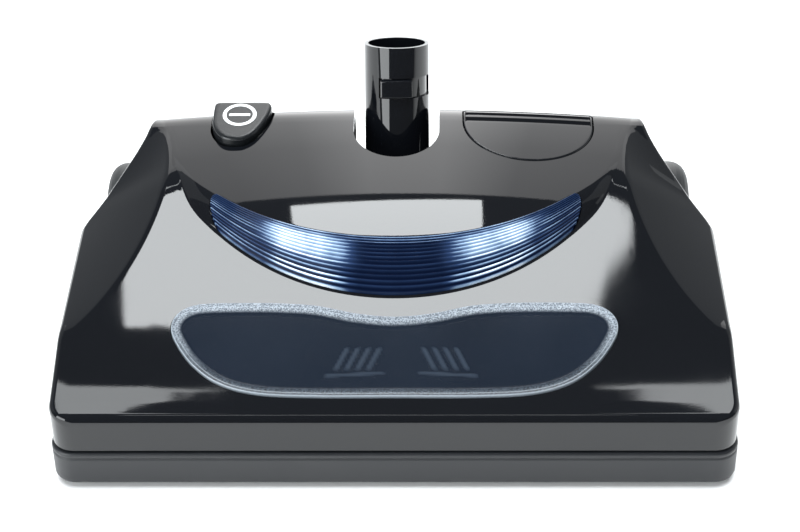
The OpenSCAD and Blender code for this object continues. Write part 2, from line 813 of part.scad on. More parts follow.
module wheel(side) {
    color("#34373a") mirror([side > 0 ? 0 : 1, 0, 0])
        translate([wheel_in, axle_y, axle_z]) rotate([0, 90, 0]) rotate_extrude($fn = 64)
            polygon([[axle_r + running, 0], [10, 0], [10, 3], [21, 3], [21, 0.5], [24, 0.5],
                [24, 18], [21, 20.5], [12, 21.5], [axle_r + running, 21.5]]);
}

// Tyre with a full rounded outer shoulder
module tyre(side) {
    w = wheel_out - wheel_in;
    sh = 10;
    color("#26282a") mirror([side > 0 ? 0 : 1, 0, 0])
        translate([wheel_in, axle_y, axle_z]) rotate([0, 90, 0]) rotate_extrude($fn = 64)
            polygon(concat([[24.1, 0.5], [wheel_r - 1.5, 0.5], [wheel_r, 2]],
                [for (a = [0 : 15 : 90]) [wheel_r - sh + sh * cos(a), w - sh + sh * sin(a)]],
                [[21.1, w], [21.1, 20.7], [24.1, 18.2]]));
}

module wheel_cap(side) {
    color("#1d1f22") mirror([side > 0 ? 0 : 1, 0, 0])
        x_rod(9, wheel_out - 1.8, wheel_out - 0.2, axle_y, axle_z);
}

module left_axle() { axle(-1); }
module right_axle() { axle(1); }
module left_wheel() { wheel(-1); }
module right_wheel() { wheel(1); }
module left_tyre() { tyre(-1); }
module right_tyre() { tyre(1); }
module left_wheel_cap() { wheel_cap(-1); }
module right_wheel_cap() { wheel_cap(1); }

module roller(side) {
    color("#4a4d50") mirror([side > 0 ? 0 : 1, 0, 0])
        translate([roller_x - roller_half, roller_y, roller_r]) rotate([0, 90, 0])
            rotate_extrude() polygon([[roller_pin_r + running, 0], [roller_r - 1.2, 0],
                [roller_r, 1.2], [roller_r, 2 * roller_half - 1.2],
                [roller_r - 1.2, 2 * roller_half], [roller_pin_r + running, 2 * roller_half]]);
}

module left_roller() { roller(-1); }
module right_roller() { roller(1); }

module roller_pins() {
    color("silver") mirrored()
        x_rod(roller_pin_r, roller_x - roller_half - 3.4, roller_x + roller_half + 3.4,
            roller_y, roller_r);
}

// ---------- Foot controls ----------

module power_pedal() {
    color("#2e3236") power_frame() {
        translate([0, 0, -4]) linear_extrude(pedal_proud + 4) power_plan();
        translate([0, 0, -16]) cylinder(r = 2.5, h = 13);
    }
}

module power_symbol() {
    color("white") power_frame() translate([-1.2, 4.4, pedal_proud + 0.02]) linear_extrude(0.2) {
        difference() {
            circle(r = 9.5);
            circle(r = 7.5);
        }
        square([11.8, 1.9], center = true);
    }
}

module power_pedal_spring() {
    color("silver") power_frame() translate([0, 0, -15.6]) coil(4.2, 0.5, 5, 11);
}

module power_switch() {
    color("#1f2b3a") power_frame() difference() {
        translate([-9, -8, -30]) cube([18, 16, 13.6]);
        translate([0, 0, -28]) cylinder(r = 3, h = 20);
    }
}

module release_pedal() {
    color("#1d2023") {
        resize([2 * release_half, 0, 0]) difference() {
            intersection() {
                skin_shell();
                linear_extrude(150) release_plan();
            }
            for (y = [74.5, 79.5]) block([release_x - 40, release_x + 40], [y, y + 1.6],
                [crown_top(release_x, y) - 3, 120]);
        }
        difference() {
            block([release_x - 14, release_x + 6], [hinge_y - 3, hinge_y + 3],
                [hinge_z - 3, crown_top(release_x + 6, hinge_y) - 1.2]);
            x_rod(hinge_r + running, release_x - 20, release_x + 20, hinge_y, hinge_z);
        }
        // Finger over the rear arm of the lock lever
        block([40, 43], [lever_y + 5, lever_y + 8], [lever_z + 3.7, 98.6]);
    }
}

module release_pedal_pin() {
    color("silver") x_rod(hinge_r, release_x - 19, release_x + 11, hinge_y, hinge_z);
}

module release_pedal_spring() {
    color("silver") translate([release_x + 18, 76, 64]) coil(3.5, 0.5, 6, 29);
}

module pedal_bracket() {
    color("#3b3f44") difference() {
        union() {
            for (x = [release_x - 19, release_x + 7.5])
                block([x, x + 3.5], [hinge_y - 3.5, hinge_y + 3.5],
                    [floor_z + wall + 0.2, hinge_z + 2.6]);
            block([release_x - 19, release_x + 24], [hinge_y - 3.5, hinge_y + 3.5],
                [floor_z + wall + 0.2, floor_z + wall + 4]);
            // Shelf under the spring
            block([release_x + 7.5, release_x + 24], [hinge_y - 3.5, 82], [60, 63.4]);
        }
        x_rod(hinge_r, release_x - 30, release_x + 30, hinge_y, hinge_z);
    }
}

// Two-armed lever: the pedal pushes its rear arm down and the tooth leaves the quadrant
module lock_lever() {
    x0 = plate_x + plate_t + 1.2;
    tooth_z = pivot_z + quadrant_r + tooth_gap;
    color("#b9bcc0") difference() {
        union() {
            x_prism([[pivot_y - 2.2, tooth_z], [pivot_y + 2.2, tooth_z],
                [pivot_y + 2.2, lever_z - 3], [lever_y + 8, lever_z - 1],
                [lever_y + 8, lever_z + 3], [pivot_y - 2.2, lever_z + 3]], x0, x0 + 3);
            x_rod(4, x0, x0 + 10, lever_y, lever_z);
            block([x0, x0 + 14], [lever_y + 5, lever_y + 8], [lever_z, lever_z + 3]);
        }
        x_rod(2 + running, x0 - 1, x0 + 13, lever_y, lever_z);
    }
}

module lock_lever_pin() {
    color("silver") x_rod(2, plate_x + 0.5, plate_x + 16, lever_y, lever_z);
}

// ---------- Electrics ----------

module control_board() {
    color("#2f6b3c") difference() {
        block([52, 118], [-34, 22], [24, 25.6]);
        for (x = [57, 113], y = [-29, 17]) translate([x, y, 20]) cylinder(r = 1.6, h = 10);
    }
}

module board_components() {
    color("#1c3f8f") {
        block([60, 78], [-20, -6], [25.7, 40]);
        translate([92, -14, 25.7]) cylinder(r = 6, h = 20);
        translate([98, 8, 25.7]) cylinder(r = 4, h = 14);
        block([62, 74], [4, 16], [25.7, 35]);
    }
    color("ivory") for (x = [57, 113], y = [-29, 17])
        translate([x, y, floor_z + wall + 0.1]) difference() {
            cylinder(r = 3, h = 24 - floor_z - wall - 0.2);
            cylinder(r = 1.4, h = 40);
        }
}

module power_inlet() {
    color("#17191c") difference() {
        block([-81, -49], [rear_y - 18, rear_y - 0.4], [35, 55]);
        block([-78.5, -51.5], [rear_y - 15, rear_y + 2], [37.5, 52.5]);
        for (x = [-71, -59]) translate([x, rear_y - 20, 45]) rotate([-90, 0, 0])
            cylinder(r = 1.5, h = 10);
    }
}

module inlet_pins() {
    color("gold") for (x = [-71, -59]) translate([x, rear_y - 22, 45]) rotate([-90, 0, 0])
        cylinder(r = 1.5, h = 16);
}

// Leads: inlet to switch, switch to motor, and across to the board and the lamps
harness = [
    [[-71, 76, 45], [-71, 68, 45], [-74, 61, 46], [-80, 58, 50], [-86, 59, 58],
        [-87, 60.5, 66], [-87.2, 64.4, 71.6]],
    [[-59, 75.2, 45], [-56, 66, 44], [-48, 56, 36], [-38, 46, 20], [-20, 40, 13], [0, 38, 12.5],
        [24, 36, 13], [44, 28, 16], [50, 26, 24], [54, 22, 30], [61.4, 12, 31]],
    [[-82, 64.4, 71.6], [-79, 58, 68], [-70, 52, 65], [-60, 48, 64], [-50, 43, 62],
        [-50, 36, 59], [-55.4, 34, 58]],
    [[64, -12, 40.6], [64, -14, 48], [62, -16, 56], [57, -19, 64], [53, -20.5, 71],
        [52, -21, 77], [49.6, -21, 78.5]],
    [[66, -17, 40.6], [60, -26, 50], [40, -30, 58], [0, -32, 60], [-40, -28, 60],
        [-54, -22, 65], [-53, -20.5, 72], [-52, -21, 77], [-49.6, -21, 78.5]]];

module wire_harness() {
    color("#a02020") for (h = harness) wire(h, 1.1);
}

// ---------- Fasteners ----------

module screw(r, head_r, h, head_h) {
    cylinder(r = head_r, h = head_h);
    cylinder(r = r, h = h);
}

// Long screws hold the hood, short ones the motor's cradle
module housing_screws() {
    color("silver") {
        for (p = hood_screw_at) translate([p[0], p[1], floor_z])
            screw(2, 3.9, 44, 2.5);
        for (p = motor_screw_at) translate([p[0], p[1], floor_z + 5]) union() {
            cylinder(r = 1.5, h = 10.3);
            translate([0, 0, 10.3]) cylinder(r = 3.4, h = 2.4);
        }
    }
}

module soleplate_screws() {
    color("silver") for (p = sole_screw_at) translate([p[0], p[1], sole_z + 0.2])
        screw(1.7, 3.5, 7, 1.3);
}

hood();
brush_window();
headlight_lens();
headlight_reflector();
headlight_bulbs();
bulb_sockets();
base_housing();
inner_frame();
furniture_bumper();
soleplate();
rear_squeegee();
brush_core();
brush_bristles();
brush_shaft();
brush_pulley();
brush_bearings();
left_end_cap();
right_end_cap();
motor_can();
motor_end_bell();
motor_rotor();
motor_fan();
motor_pulley();
motor_cradle();
motor_strap();
drive_belt();
belt_cover();
suction_duct();
duct_seal();
neck_tube();
neck_bushes();
wand_lock_slider();
left_axle();
right_axle();
left_wheel();
right_wheel();
left_tyre();
right_tyre();
left_wheel_cap();
right_wheel_cap();
left_roller();
right_roller();
roller_pins();
power_pedal();
power_symbol();
power_pedal_spring();
power_switch();
release_pedal();
release_pedal_pin();
release_pedal_spring();
pedal_bracket();
lock_lever();
lock_lever_pin();
control_board();
board_components();
power_inlet();
inlet_pins();
wire_harness();
housing_screws();
soleplate_screws();
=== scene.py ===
"""Looks for the powered floor-cleaning head: shells, glass, lens, bristles, light and camera.

Lengths are millimetres until make_mesh() turns them into metres. The frame is the CAD's:
+X right, +Y back, +Z up, origin on the floor at the centre of the outline.
"""

import json
import math

import bmesh
import bpy
import numpy as np
from mathutils import Matrix, Quaternion, Vector
from mathutils.geometry import delaunay_2d_cdt


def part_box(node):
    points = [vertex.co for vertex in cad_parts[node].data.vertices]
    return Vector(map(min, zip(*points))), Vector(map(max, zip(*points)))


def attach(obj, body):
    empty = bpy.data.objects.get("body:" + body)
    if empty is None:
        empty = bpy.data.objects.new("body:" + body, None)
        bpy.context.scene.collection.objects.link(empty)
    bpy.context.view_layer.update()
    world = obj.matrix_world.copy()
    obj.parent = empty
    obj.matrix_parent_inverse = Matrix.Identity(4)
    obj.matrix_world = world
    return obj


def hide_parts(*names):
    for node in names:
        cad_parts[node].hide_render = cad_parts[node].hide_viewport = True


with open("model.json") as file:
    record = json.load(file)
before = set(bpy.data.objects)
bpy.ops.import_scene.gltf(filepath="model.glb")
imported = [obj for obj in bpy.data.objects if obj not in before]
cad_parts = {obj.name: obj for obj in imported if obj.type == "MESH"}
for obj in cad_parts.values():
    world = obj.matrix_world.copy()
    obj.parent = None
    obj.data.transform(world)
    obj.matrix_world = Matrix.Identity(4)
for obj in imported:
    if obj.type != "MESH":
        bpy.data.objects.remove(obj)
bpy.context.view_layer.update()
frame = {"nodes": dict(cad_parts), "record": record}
nodes = frame["nodes"]

MM = 0.001
RNG = np.random.default_rng(7)
# Edges that bend more than this, in degrees, stay sharp
SHARP_DEG = 38


def node_box(name):
    """Lowest and highest corner of a CAD node, in millimetres."""
    low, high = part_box(name)
    return np.array(low) / MM, np.array(high) / MM


# ---------- Sizes taken from the frame ----------

hood_lo, hood_hi = node_box("hood")
bumper_lo, bumper_hi = node_box("furniture_bumper")
HOOD_HALF_W = hood_hi[0]
FRONT_Y = hood_lo[1]
REAR_Y = hood_hi[1]
HOOD_Z0 = hood_lo[2]
SKIN = 2.6

# ---------- The hood's surface, as the CAD's formulas give it ----------

# Height of the ramp's front edge, and radii of the edges and the plan's corners
FRONT_Z = 47.0
EDGE_R = 3.2
REAR_EDGE_R = 22.0
CORNER_R = 12.0
# Places along the side, with the half width and height of the side there
SHOULDER_Y, ARCH_Y, FLARE_Y = 26.0, 42.0, 70.0
ARCH_HALF_W, REAR_HALF_W = 165.0, 140.0
SIDE_Z, ARCH_Z, FLARE_Z = 60.0, 68.0, 95.0
# The crease between the ramp and the side starts here
CREASE_HALF_W, CREASE_Y = 126.4, 33.0
# Highest line of the dome
CROWN_Y, CROWN_Z = 83.0, 101.0
# Rounding of the crease, the dome's foot, the ramp's meeting with the dome, and the flare
CREASE_SOFT = 1.8
FOOT_SOFT = 0.05
MEET_SOFT = 1.0
FLARE_SOFT = 14


def rim_drop(d, r):
    """How far a rounded edge of radius r falls at a distance d inside it."""
    inside = np.clip(r - np.clip(d, 0, r), 0, r)
    return r - np.sqrt(np.maximum(r * r - inside**2, 0))


def ramp_z(y):
    """Height of the ramp, which rises ever faster up to the dome."""
    t = y - FRONT_Y
    return FRONT_Z + 0.225 * t + 0.00058 * t * t - 0.000275 * np.maximum(0, t - 61) ** 2


def crown_top(x, y):
    """Height of the dome."""
    s = CROWN_Y - y
    return CROWN_Z - 0.05 * s - 0.00054 * s * np.abs(s) - 7 * (x / REAR_HALF_W) ** 2


def foot_y(x):
    """Where the dome's foot runs, curving back towards the sides."""
    steep = np.maximum(0, np.abs(x) - 104)
    return -44 + 0.0037 * x * x + 7e-8 * x**4 + 0.0023 * steep**3


def band_w(x):
    """Depth of the band between the dome's foot and its top."""
    return 21.7 - 8.2 * (x / CREASE_HALF_W) ** 2


def crease_x(y):
    """Half width of the ramp, out to the crease."""
    d = (np.hypot(CREASE_Y - y, 10) + CREASE_Y - y) / 2
    b = np.maximum(0, y - CREASE_Y)
    return CREASE_HALF_W + 0.15 * d + 0.0024 * d * d + 6e-8 * d**4 + 0.0025 * b * b


def along_side(y, values):
    """Value at the shoulder, the arch and the flare, with the bend at the flare rounded."""
    bends = [SHOULDER_Y, ARCH_Y, FLARE_Y]
    steps = np.linspace(-FLARE_SOFT, FLARE_SOFT, 15)
    soft = sum(np.interp(y + step, bends, values) for step in steps) / len(steps)
    share = np.clip((y - 52) / 6, 0, 1)
    return np.interp(y, bends, values) * (1 - share) + soft * share


def side_x(y):
    """Half width of the hood."""
    plan = along_side(y, [HOOD_HALF_W, ARCH_HALF_W, REAR_HALF_W])
    return plan - rim_drop(y - FRONT_Y, CORNER_R)


def side_z(y):
    """Height of the side's upper edge."""
    return along_side(y, [SIDE_Z, ARCH_Z, FLARE_Z])


def middle_z(x, y):
    """Height between the creases: the ramp, the band up from the foot, then the dome."""
    t = np.clip((y - foot_y(x)) / band_w(x), 0, 1)
    high = crown_top(x, y)
    gap = ramp_z(y) - high
    low = high + (gap - np.hypot(gap, MEET_SOFT)) / 2
    soft = t * t / (t + FOOT_SOFT) * (1 + FOOT_SOFT)
    return low + (high - low) * (1 - (1 - soft) ** 1.8)


def skin_z(x, y):
    """Height of the outer skin; the crease is rounded over CREASE_SOFT each side."""
    a = np.abs(x)
    c = crease_x(y)
    e = side_x(y)
    top = middle_z(np.minimum(a, c), y)
    edge = np.minimum(side_z(y), top)
    room = np.maximum(e - c, 1.0)
    past = a - c
    soft = np.where(
        past < -CREASE_SOFT,
        0,
        np.where(past > CREASE_SOFT, past, (past + CREASE_SOFT) ** 2 / (4 * CREASE_SOFT)),
    )
    fade = np.clip((e - c) / 12, 0, 1)
    face = top + (edge - top) * np.clip(soft / room, 0, 1.02) * fade
    return (
        face
        - rim_drop(e - a, EDGE_R)
        - rim_drop(y - FRONT_Y, EDGE_R)
        - rim_drop(REAR_Y - y, REAR_EDGE_R)
    )


# ---------- Mesh helpers ----------


def make_mesh(name, verts_mm, faces, material, sharp_deg=SHARP_DEG, body="root"):
    """A smooth-shaded piece from millimetre points, riding on a body."""
    mesh = bpy.data.meshes.new(name)
    mesh.from_pydata([tuple(v) for v in np.asarray(verts_mm, float) * MM], [], faces)
    mesh.validate()
    work = bmesh.new()
    work.from_mesh(mesh)
    bmesh.ops.remove_doubles(work, verts=work.verts, dist=1e-6)
    bmesh.ops.recalc_face_normals(work, faces=work.faces)
    work.to_mesh(mesh)
    work.free()
    mesh.shade_smooth()
    mesh.set_sharp_from_angle(angle=math.radians(sharp_deg))
    obj = bpy.data.objects.new(name, mesh)
    bpy.context.scene.collection.objects.link(obj)
    mesh.materials.append(material)
    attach(obj, body)
    return obj


def grid_faces(rows, cols, wrap=False, start=0):
    """Quads over a grid of rows by cols points, numbered row by row from start."""
    last = cols if wrap else cols - 1
    return [
        (
            start + i * cols + j,
            start + i * cols + (j + 1) % cols,
            start + (i + 1) * cols + (j + 1) % cols,
            start + (i + 1) * cols + j,
        )
        for i in range(rows - 1)
        for j in range(last)
    ]


def perimeter(rows, cols):
    """Indices round the edge of a grid, anticlockwise from its first corner."""
    front = list(range(cols))
    right = [i * cols + cols - 1 for i in range(1, rows)]
    rear = [(rows - 1) * cols + j for j in range(cols - 2, -1, -1)]
    left = [i * cols for i in range(rows - 2, 0, -1)]
    return front + right + rear + left


def layer_faces(rows, cols):
    """Faces of two grids of points, the outer one first and the inner one turned over."""
    inner = grid_faces(rows, cols, start=rows * cols)
    return grid_faces(rows, cols) + [tuple(reversed(face)) for face in inner]


def joined(loop_a, loop_b):
    """Quads between two closed loops of indices."""
    n = len(loop_a)
    return [
        (loop_a[k], loop_b[k], loop_b[(k + 1) % n], loop_a[(k + 1) % n]) for k in range(n)
    ]


def slab_faces(rows, cols):
    """Faces of two grids of points, joined round their edge."""
    edge = perimeter(rows, cols)
    return layer_faces(rows, cols) + joined(edge, [rows * cols + i for i in edge])


def closed_spline(points, per_span=8):
    """Smooth closed curve through 2-D points."""
    p = np.asarray(points, float)
    out = []
    for i in range(len(p)):
        a, b, c, d = (p[(i + k) % len(p)] for k in (-1, 0, 1, 2))
        for t in np.arange(per_span) / per_span:
            out.append(
                0.5
                * (
                    2 * b
                    + (c - a) * t
                    + (2 * a - 5 * b + 4 * c - d) * t**2
                    + (3 * b - a - 3 * c + d) * t**3
                )
            )
    return np.array(out)


def inward(outline, distance):
    """Outline moved inwards; it runs anticlockwise."""
    ahead = np.roll(outline, -1, axis=0) - np.roll(outline, 1, axis=0)
    normal = np.stack([-ahead[:, 1], ahead[:, 0]], 1)
    normal /= np.linalg.norm(normal, axis=1)[:, None]
    return outline + normal * distance


def contains(outline, points):
    """Which points lie inside a closed outline."""
    x, y = points[:, 0], points[:, 1]
    inside = np.zeros(len(points), bool)
    ax, ay = outline[-1]
    for bx, by in outline:
        crosses = (ay > y) != (by > y)
        with np.errstate(divide="ignore", invalid="ignore"):
            at = (bx - ax) * (y - ay) / (by - ay) + ax
        inside ^= crosses & (x < at)
        ax, ay = bx, by
    return inside


def fill(outline, spacing):
    """Triangles over a closed outline, with inner points on a square grid."""
    lo, hi = outline.min(0), outline.max(0)
    gx, gy = np.meshgrid(
        np.arange(lo[0], hi[0], spacing), np.arange(lo[1], hi[1], spacing)
    )
    inner = np.stack([gx.ravel(), gy.ravel()], 1)
    inner = inner[contains(inward(outline, spacing * 0.45), inner)]
    pts = [Vector(p) for p in np.vstack([outline, inner])]
    n = len(outline)
    edges = [(i, (i + 1) % n) for i in range(n)]
    verts, _, tris, *_ = delaunay_2d_cdt(pts, edges, [], 0, 1e-5)
    v = np.array([tuple(p) for p in verts])
    mid = v[np.array(tris)].mean(1)
    keep = contains(outline, mid)
    return v, [tuple(t) for t, k in zip(tris, keep) if k]


def plate(name, outline, profile, surface, material, spacing=3.0, body="root", relief=None):
    """A pane over surface(x, y): profile is (inset, height) pairs from its lower edge inwards."""
    verts, faces = [], []
    n = len(outline)
    for inset, height in profile:
        ring = inward(outline, inset)
        verts += [(x, y, surface(x, y) + height) for x, y in ring]
    faces += grid_faces(len(profile), n, wrap=True)
    last_inset, last_height = profile[-1]
    pts, tris = fill(inward(outline, last_inset), spacing)
    start = len(verts)
    for x, y in pts:
        lift = relief(x, y) if relief else 0.0
        verts.append((x, y, surface(x, y) + last_height + lift))
    faces += [tuple(start + i for i in t) for t in tris]
    base = len(verts)
    pts, tris = fill(outline, spacing * 2)
    verts += [(x, y, surface(x, y) + profile[0][1]) for x, y in pts]
    faces += [tuple(base + i for i in reversed(t)) for t in tris]
    return make_mesh(name, verts, faces, material, body=body)


def cutter(first, second):
    """A closed cutter between two rings of points."""
    n = len(first)
    faces = [tuple(range(n))[::-1], tuple(range(n, 2 * n))] + grid_faces(2, n, wrap=True)
    mesh = bpy.data.meshes.new("cutter")
    mesh.from_pydata([tuple(np.array(v) * MM) for v in first + second], [], faces)
    return mesh


def prism(outline, z0, z1):
    """Upright cutter: an outline drawn from z0 up to z1."""
    return cutter(*([(x, y, z) for x, y in outline] for z in (z0, z1)))


def disc_cutter(x0, x1, y, z, r):
    """Round cutter along X."""
    turns = np.linspace(0, 2 * math.pi, 96, endpoint=False)
    ring = [(y + r * math.cos(a), z + r * math.sin(a)) for a in turns]
    return cutter(*([(x, *point) for point in ring] for x in (x0, x1)))


def rectangle(x0, x1, y0, y1):
    """Corners of a rectangle square to the axes, anticlockwise."""
    return [(x0, y0), (x1, y0), (x1, y1), (x0, y1)]


def cut(obj, cutters):
    """Takes cutter meshes out of a closed piece, one after another."""
    for mesh in cutters:
        tool = bpy.data.objects.new("cutter", mesh)
        bpy.context.scene.collection.objects.link(tool)
        work = bmesh.new()
        work.from_mesh(mesh)
        bmesh.ops.recalc_face_normals(work, faces=work.faces)
        work.to_mesh(mesh)
        work.free()
        step = obj.modifiers.new("cut", "BOOLEAN")
        step.operation = "DIFFERENCE"
        step.solver = "MANIFOLD"
        step.object = tool
        bpy.context.view_layer.update()
        result = bpy.data.meshes.new_from_object(
            obj.evaluated_get(bpy.context.evaluated_depsgraph_get())
        )
        obj.modifiers.clear()
        obj.data = result
        bpy.data.objects.remove(tool)
        bpy.data.meshes.remove(mesh)


# ---------- Materials ----------


def new_material(name):
    """Material, its node tree and its shader."""
    material = bpy.data.materials.new(name)
    material.use_nodes = True
    tree = material.node_tree
    shader = tree.nodes["Principled BSDF"]
    return material, tree, shader


def add_noise(tree, scale, detail=4.0, stretch=(1, 1, 1)):
    """Noise in object space, in features per metre."""
    coords = tree.nodes.new("ShaderNodeTexCoord")
    mapping = tree.nodes.new("ShaderNodeMapping")
    mapping.inputs["Scale"].default_value = stretch
    noise = tree.nodes.new("ShaderNodeTexNoise")
    noise.inputs["Scale"].default_value = scale
    noise.inputs["Detail"].default_value = detail
    tree.links.new(coords.outputs["Object"], mapping.inputs["Vector"])
    tree.links.new(mapping.outputs["Vector"], noise.inputs["Vector"])
    return noise.outputs["Fac"]


def ramp(tree, fac, low, high, lo_pos=0.3, hi_pos=0.7):
    """From low to high as fac goes from lo_pos to hi_pos, and level beyond them."""
    node = tree.nodes.new("ShaderNodeMapRange")
    node.inputs["From Min"].default_value = lo_pos
    node.inputs["From Max"].default_value = hi_pos
    node.inputs["To Min"].default_value = low
    node.inputs["To Max"].default_value = high
    tree.links.new(fac, node.inputs["Value"])
    return node.outputs["Result"]


def mask(tree, name):
    """Value painted on the mesh's points."""
    node = tree.nodes.new("ShaderNodeAttribute")
    node.attribute_name = name
    return node.outputs["Fac"]


def blend(tree, fac, a, b):
    """Mix of two colours, either of which may be a socket."""
    node = tree.nodes.new("ShaderNodeMix")
    node.data_type = "RGBA"
    tree.links.new(fac, node.inputs["Factor"])
    for name, value in (("A", a), ("B", b)):
        if isinstance(value, tuple):
            node.inputs[name].default_value = (*value, 1)
        else:
            tree.links.new(value, node.inputs[name])
    return node.outputs["Result"]


def colour_curve(tree, value, stops):
    """Piecewise-linear run of (position, colour) stops."""
    node = tree.nodes.new("ShaderNodeValToRGB")
    tree.links.new(value, node.inputs["Fac"])
    elements = node.color_ramp.elements
    while len(elements) < len(stops):
        elements.new(0.5)
    for element, (place, colour) in zip(elements, stops):
        element.position = place
        element.color = (*colour, 1)
    return node.outputs["Color"]


def curve(tree, value, stops):
    """Piecewise-linear curve of (position, level) stops, each from 0 to 1."""
    return colour_curve(tree, value, [(place, (level,) * 3) for place, level in stops])


def object_axes(tree):
    """Separate X, Y and Z of the point in object space, in metres."""
    coords = tree.nodes.new("ShaderNodeTexCoord")
    split = tree.nodes.new("ShaderNodeSeparateXYZ")
    tree.links.new(coords.outputs["Object"], split.inputs["Vector"])
    return split.outputs


def add_bump(tree, shader, fac, depth_mm, strength=1.0):
    """Relief of depth_mm that follows fac."""
    bump = tree.nodes.new("ShaderNodeBump")
    bump.inputs["Strength"].default_value = strength
    bump.inputs["Distance"].default_value = depth_mm * MM
    tree.links.new(fac, bump.inputs["Height"])
    tree.links.new(bump.outputs["Normal"], shader.inputs["Normal"])


def tinted(colour, lift):
    """The colour made lighter or darker by a factor."""
    return tuple(min(1, c * lift) for c in colour)


def plastic(name, colour, rough, rough_spread, grain=900, grain_mm=0.02, lift=1.5):
    """Moulded plastic: uneven gloss from handling, slight colour drift, fine mould grain."""
    material, tree, shader = new_material(name)
    cloud = add_noise(tree, 18, 6)
    fine = add_noise(tree, grain, 3)
    tone = blend(tree, cloud, colour, tinted(colour, lift))
    tree.links.new(tone, shader.inputs["Base Color"])
    uneven = ramp(tree, cloud, rough, rough + rough_spread)
    tree.links.new(uneven, shader.inputs["Roughness"])
    add_bump(tree, shader, fine, grain_mm)
    return material


def metal(name, colour, rough, stretch=(40, 1, 1)):
    """Turned or drawn metal: fine streaks along one axis."""
    material, tree, shader = new_material(name)
    streak = add_noise(tree, 120, 5, stretch)
    tone = blend(tree, streak, tinted(colour, 0.8), colour)
    tree.links.new(tone, shader.inputs["Base Color"])
    tree.links.new(ramp(tree, streak, rough, rough + 0.15), shader.inputs["Roughness"])
    add_bump(tree, shader, streak, 0.01, 0.4)
    shader.inputs["Metallic"].default_value = 1.0
    return material


def clear_glass(name, colour):
    """Clear blown glass with a faint unevenness."""
    material, tree, shader = new_material(name)
    cloud = add_noise(tree, 30, 4)
    tone = blend(tree, cloud, colour, tinted(colour, 1.15))
    tree.links.new(tone, shader.inputs["Base Color"])
    tree.links.new(ramp(tree, cloud, 0.02, 0.04), shader.inputs["Roughness"])
    add_bump(tree, shader, add_noise(tree, 500, 2), 0.01, 0.5)
    shader.inputs["Transmission Weight"].default_value = 0.9
    shader.inputs["IOR"].default_value = 1.45
    return material


GLOSS = plastic("gloss_black", (0.0028, 0.0033, 0.0045), 0.012, 0.02, 1400, 0.001, 1.3)
BUMPER = plastic("bumper_rubber", (0.009, 0.010, 0.012), 0.38, 0.14, 1500, 0.03)
DARK = plastic("dark_grey_plastic", (0.02, 0.022, 0.025), 0.34, 0.16, 1200, 0.04)
PEDAL = plastic("pedal_plastic", (0.006, 0.007, 0.008), 0.22, 0.1, 1500, 0.02)
TYRE = plastic("tyre_rubber", (0.011, 0.012, 0.013), 0.42, 0.2, 700, 0.12)
IVORY = plastic("ivory_nylon", (0.55, 0.53, 0.46), 0.35, 0.15, 900, 0.03, 1.15)
WHITE = plastic("white_print", (0.75, 0.76, 0.77), 0.35, 0.1, 900, 0.01, 1.1)
BRISTLE = plastic("bristle_nylon", (0.012, 0.013, 0.016), 0.3, 0.2, 2500, 0.02, 2.5)
BOARD = plastic("circuit_board", (0.03, 0.13, 0.055), 0.3, 0.2, 300, 0.03, 1.5)
PARTS = plastic("board_parts", (0.02, 0.05, 0.2), 0.25, 0.2, 400, 0.03, 1.6)
WIRE = plastic("wire_cover", (0.28, 0.02, 0.02), 0.4, 0.15, 600, 0.03, 1.3)
STEEL = metal("steel", (0.56, 0.57, 0.58), 0.2)
COPPER = metal("copper_winding", (0.72, 0.36, 0.2), 0.3, (1, 60, 60))
BRASS = metal("brass", (0.75, 0.58, 0.28), 0.22)
MIRROR = metal("reflector_silver", (0.86, 0.88, 0.92), 0.12, (1, 30, 1))


def smoked_window():
    """Dark tinted pane with a speckled frosted border; painted light makes the border paler
    towards the rear and darker in front.
    """
    material, tree, shader = new_material("window_smoke")
    edge = mask(tree, "edge")
    frost = curve(tree, edge, [(0.0, 1), (0.3, 1), (0.42, 0.75), (0.56, 0)])
    # Painted highlights: thin light lines along the crest and bend of the border's raised rim
    line = curve(
        tree, edge, [(0.0, 0.5), (0.03, 1), (0.06, 0), (0.19, 0), (0.22, 0.6), (0.25, 0)]
    )
    speckle = ramp(tree, add_noise(tree, 1300, 3), 0.0, 1.0, 0.42, 0.6)
    # Painted light: a lit copy of the speckled frost towards the rear and a shaded copy in front
    painted_light_rearward = ramp(tree, object_axes(tree)["Y"], 0, 1, -0.088, -0.052)
    painted_shade_frost = blend(tree, speckle, (0.006, 0.01, 0.015), (0.055, 0.07, 0.09))
    painted_bright = blend(tree, speckle, (0.09, 0.105, 0.125), (0.3, 0.335, 0.375))
    frosted = blend(tree, painted_light_rearward, painted_shade_frost, painted_bright)
    border = blend(tree, line, frosted, (0.3, 0.34, 0.38))
    cloud = blend(tree, add_noise(tree, 25, 4), (0.008, 0.012, 0.02), (0.016, 0.022, 0.034))
    inner = blend(tree, mask(tree, "ribs"), cloud, (0.036, 0.048, 0.068))
    tree.links.new(blend(tree, frost, inner, border), shader.inputs["Base Color"])
    tree.links.new(ramp(tree, frost, 0.06, 0.26, 0, 1), shader.inputs["Roughness"])
    tree.links.new(ramp(tree, frost, 0.3, 0.0, 0, 1), shader.inputs["Transmission Weight"])
    tree.links.new(ramp(tree, frost, 1.09, 1.4, 0, 1), shader.inputs["IOR"])
    add_bump(tree, shader, speckle, 0.03, 0.4)
    return material


